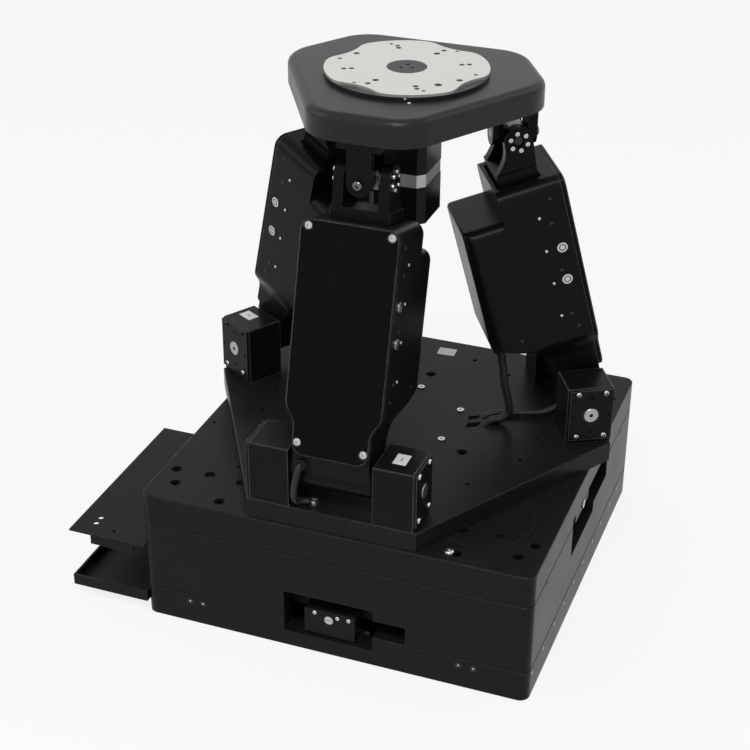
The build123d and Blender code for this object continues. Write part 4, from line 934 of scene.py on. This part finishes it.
def addFloor():
    # flat square on which the base stands; the camera sees it mostly as plain white, so a faint shadow stays
    mesh = bpy.data.meshes.new("studioFloor")
    reach = studio["reach"]
    corners = [(-reach, -reach, 0), (reach, -reach, 0), (reach, reach, 0), (-reach, reach, 0)]
    mesh.from_pydata(corners, [], [(0, 1, 2, 3)])
    floor = addObject("studioFloor", mesh)
    paint = bpy.data.materials.new("paleFloor")
    paint.use_nodes = True
    tree = paint.node_tree
    shader = tree.nodes["Principled BSDF"]
    shader.inputs["Base Color"].default_value = (*[studio["paint"]] * 3, 1.0)
    shader.inputs["Roughness"].default_value = 0.8
    shader.inputs["Specular IOR Level"].default_value = 0.1
    glow = tree.nodes.new("ShaderNodeEmission")
    glow.inputs["Strength"].default_value = 1.0
    path = tree.nodes.new("ShaderNodeLightPath")
    seen = addMath(tree, "MAXIMUM", path.outputs["Is Camera Ray"], path.outputs["Is Glossy Ray"])
    seen = addMath(tree, "MAXIMUM", seen, path.outputs["Is Transmission Ray"])
    share = addMath(tree, "MULTIPLY", seen, studio["whiteShare"])
    blend = tree.nodes.new("ShaderNodeMixShader")
    tree.links.new(share, blend.inputs[0])
    tree.links.new(shader.outputs[0], blend.inputs[1])
    tree.links.new(glow.outputs[0], blend.inputs[2])
    tree.links.new(blend.outputs[0], tree.nodes["Material Output"].inputs["Surface"])
    mesh.materials.append(paint)


def addSky():
    # plain dim dome for shading, white where the camera, metal or glass looks at it
    world = bpy.data.worlds.new("studioSky")
    bpy.context.scene.world = world
    world.use_nodes = True
    tree = world.node_tree
    back = tree.nodes["Background"]
    back.inputs["Color"].default_value = (1.0, 1.0, 1.0, 1.0)
    path = tree.nodes.new("ShaderNodeLightPath")
    seen = addMath(tree, "MAXIMUM", path.outputs["Is Camera Ray"], path.outputs["Is Glossy Ray"])
    seen = addMath(tree, "MAXIMUM", seen, path.outputs["Is Transmission Ray"])
    tree.links.new(spread(tree, seen, studio["skyForShading"], studio["skyForEyes"]), back.inputs["Strength"])


def addLamp(name, place, target, size, power):
    lamp = bpy.data.lights.new(name, "AREA")
    lamp.shape = "RECTANGLE"
    lamp.size, lamp.size_y = size
    lamp.energy = power
    holder = addObject(name, lamp)
    holder.location = place
    holder.rotation_euler = (Vector(target) - Vector(place)).to_track_quat("-Z", "Y").to_euler()


view = {
    "azimuth": 20.435, "elevation": 29.239, "roll": 0.350, "focalPixels": 1677.991, "framePixels": 750,
    "aim": (0.0, 0.0, 0.150), "shiftRight": -0.027431, "shiftUp": 0.053247, "distance": 1.738526,
}


def addCamera():
    # right, up and back are the photograph's own axes; the camera stands back from the aim along them
    turn, rise, roll = np.radians([view["azimuth"], view["elevation"], view["roll"]])
    back = Vector((np.sin(turn) * np.cos(rise), -np.cos(turn) * np.cos(rise), np.sin(rise)))
    right = Vector((np.cos(turn), np.sin(turn), 0.0))
    up = back.cross(right)
    right, up = right * np.cos(roll) + up * np.sin(roll), up * np.cos(roll) - right * np.sin(roll)
    data = bpy.data.cameras.new("photoCamera")
    data.sensor_width = 36.0
    data.lens = view["focalPixels"] / view["framePixels"] * 36.0
    data.clip_end = 50.0
    camera = addObject("photoCamera", data)
    place = Vector(view["aim"]) + right * view["shiftRight"] + up * view["shiftUp"] + back * view["distance"]
    camera.matrix_world = Matrix.Translation(place) @ Matrix((right, up, back)).transposed().to_4x4()
    bpy.context.scene.camera = camera


lamps = {
    "softTop": {"place": (0.3, -1.5, 2.6), "target": (0, 0, 0.3), "size": (0.8, 0.8), "power": 30.0},
    "softLeft": {"place": (-1.9, -0.9, 1.5), "target": (0, 0, 0.3), "size": (1.2, 1.2), "power": 9.0},
    "softBack": {"place": (1.7, 1.3, 2.1), "target": (0, 0, 0.35), "size": (1.2, 1.0), "power": 7.0},
}
addFloor()
addSky()
for name, values in lamps.items():
    addLamp(name, **values)
addCamera()
bpy.context.scene.view_settings.view_transform = "Standard"
print("stage made")
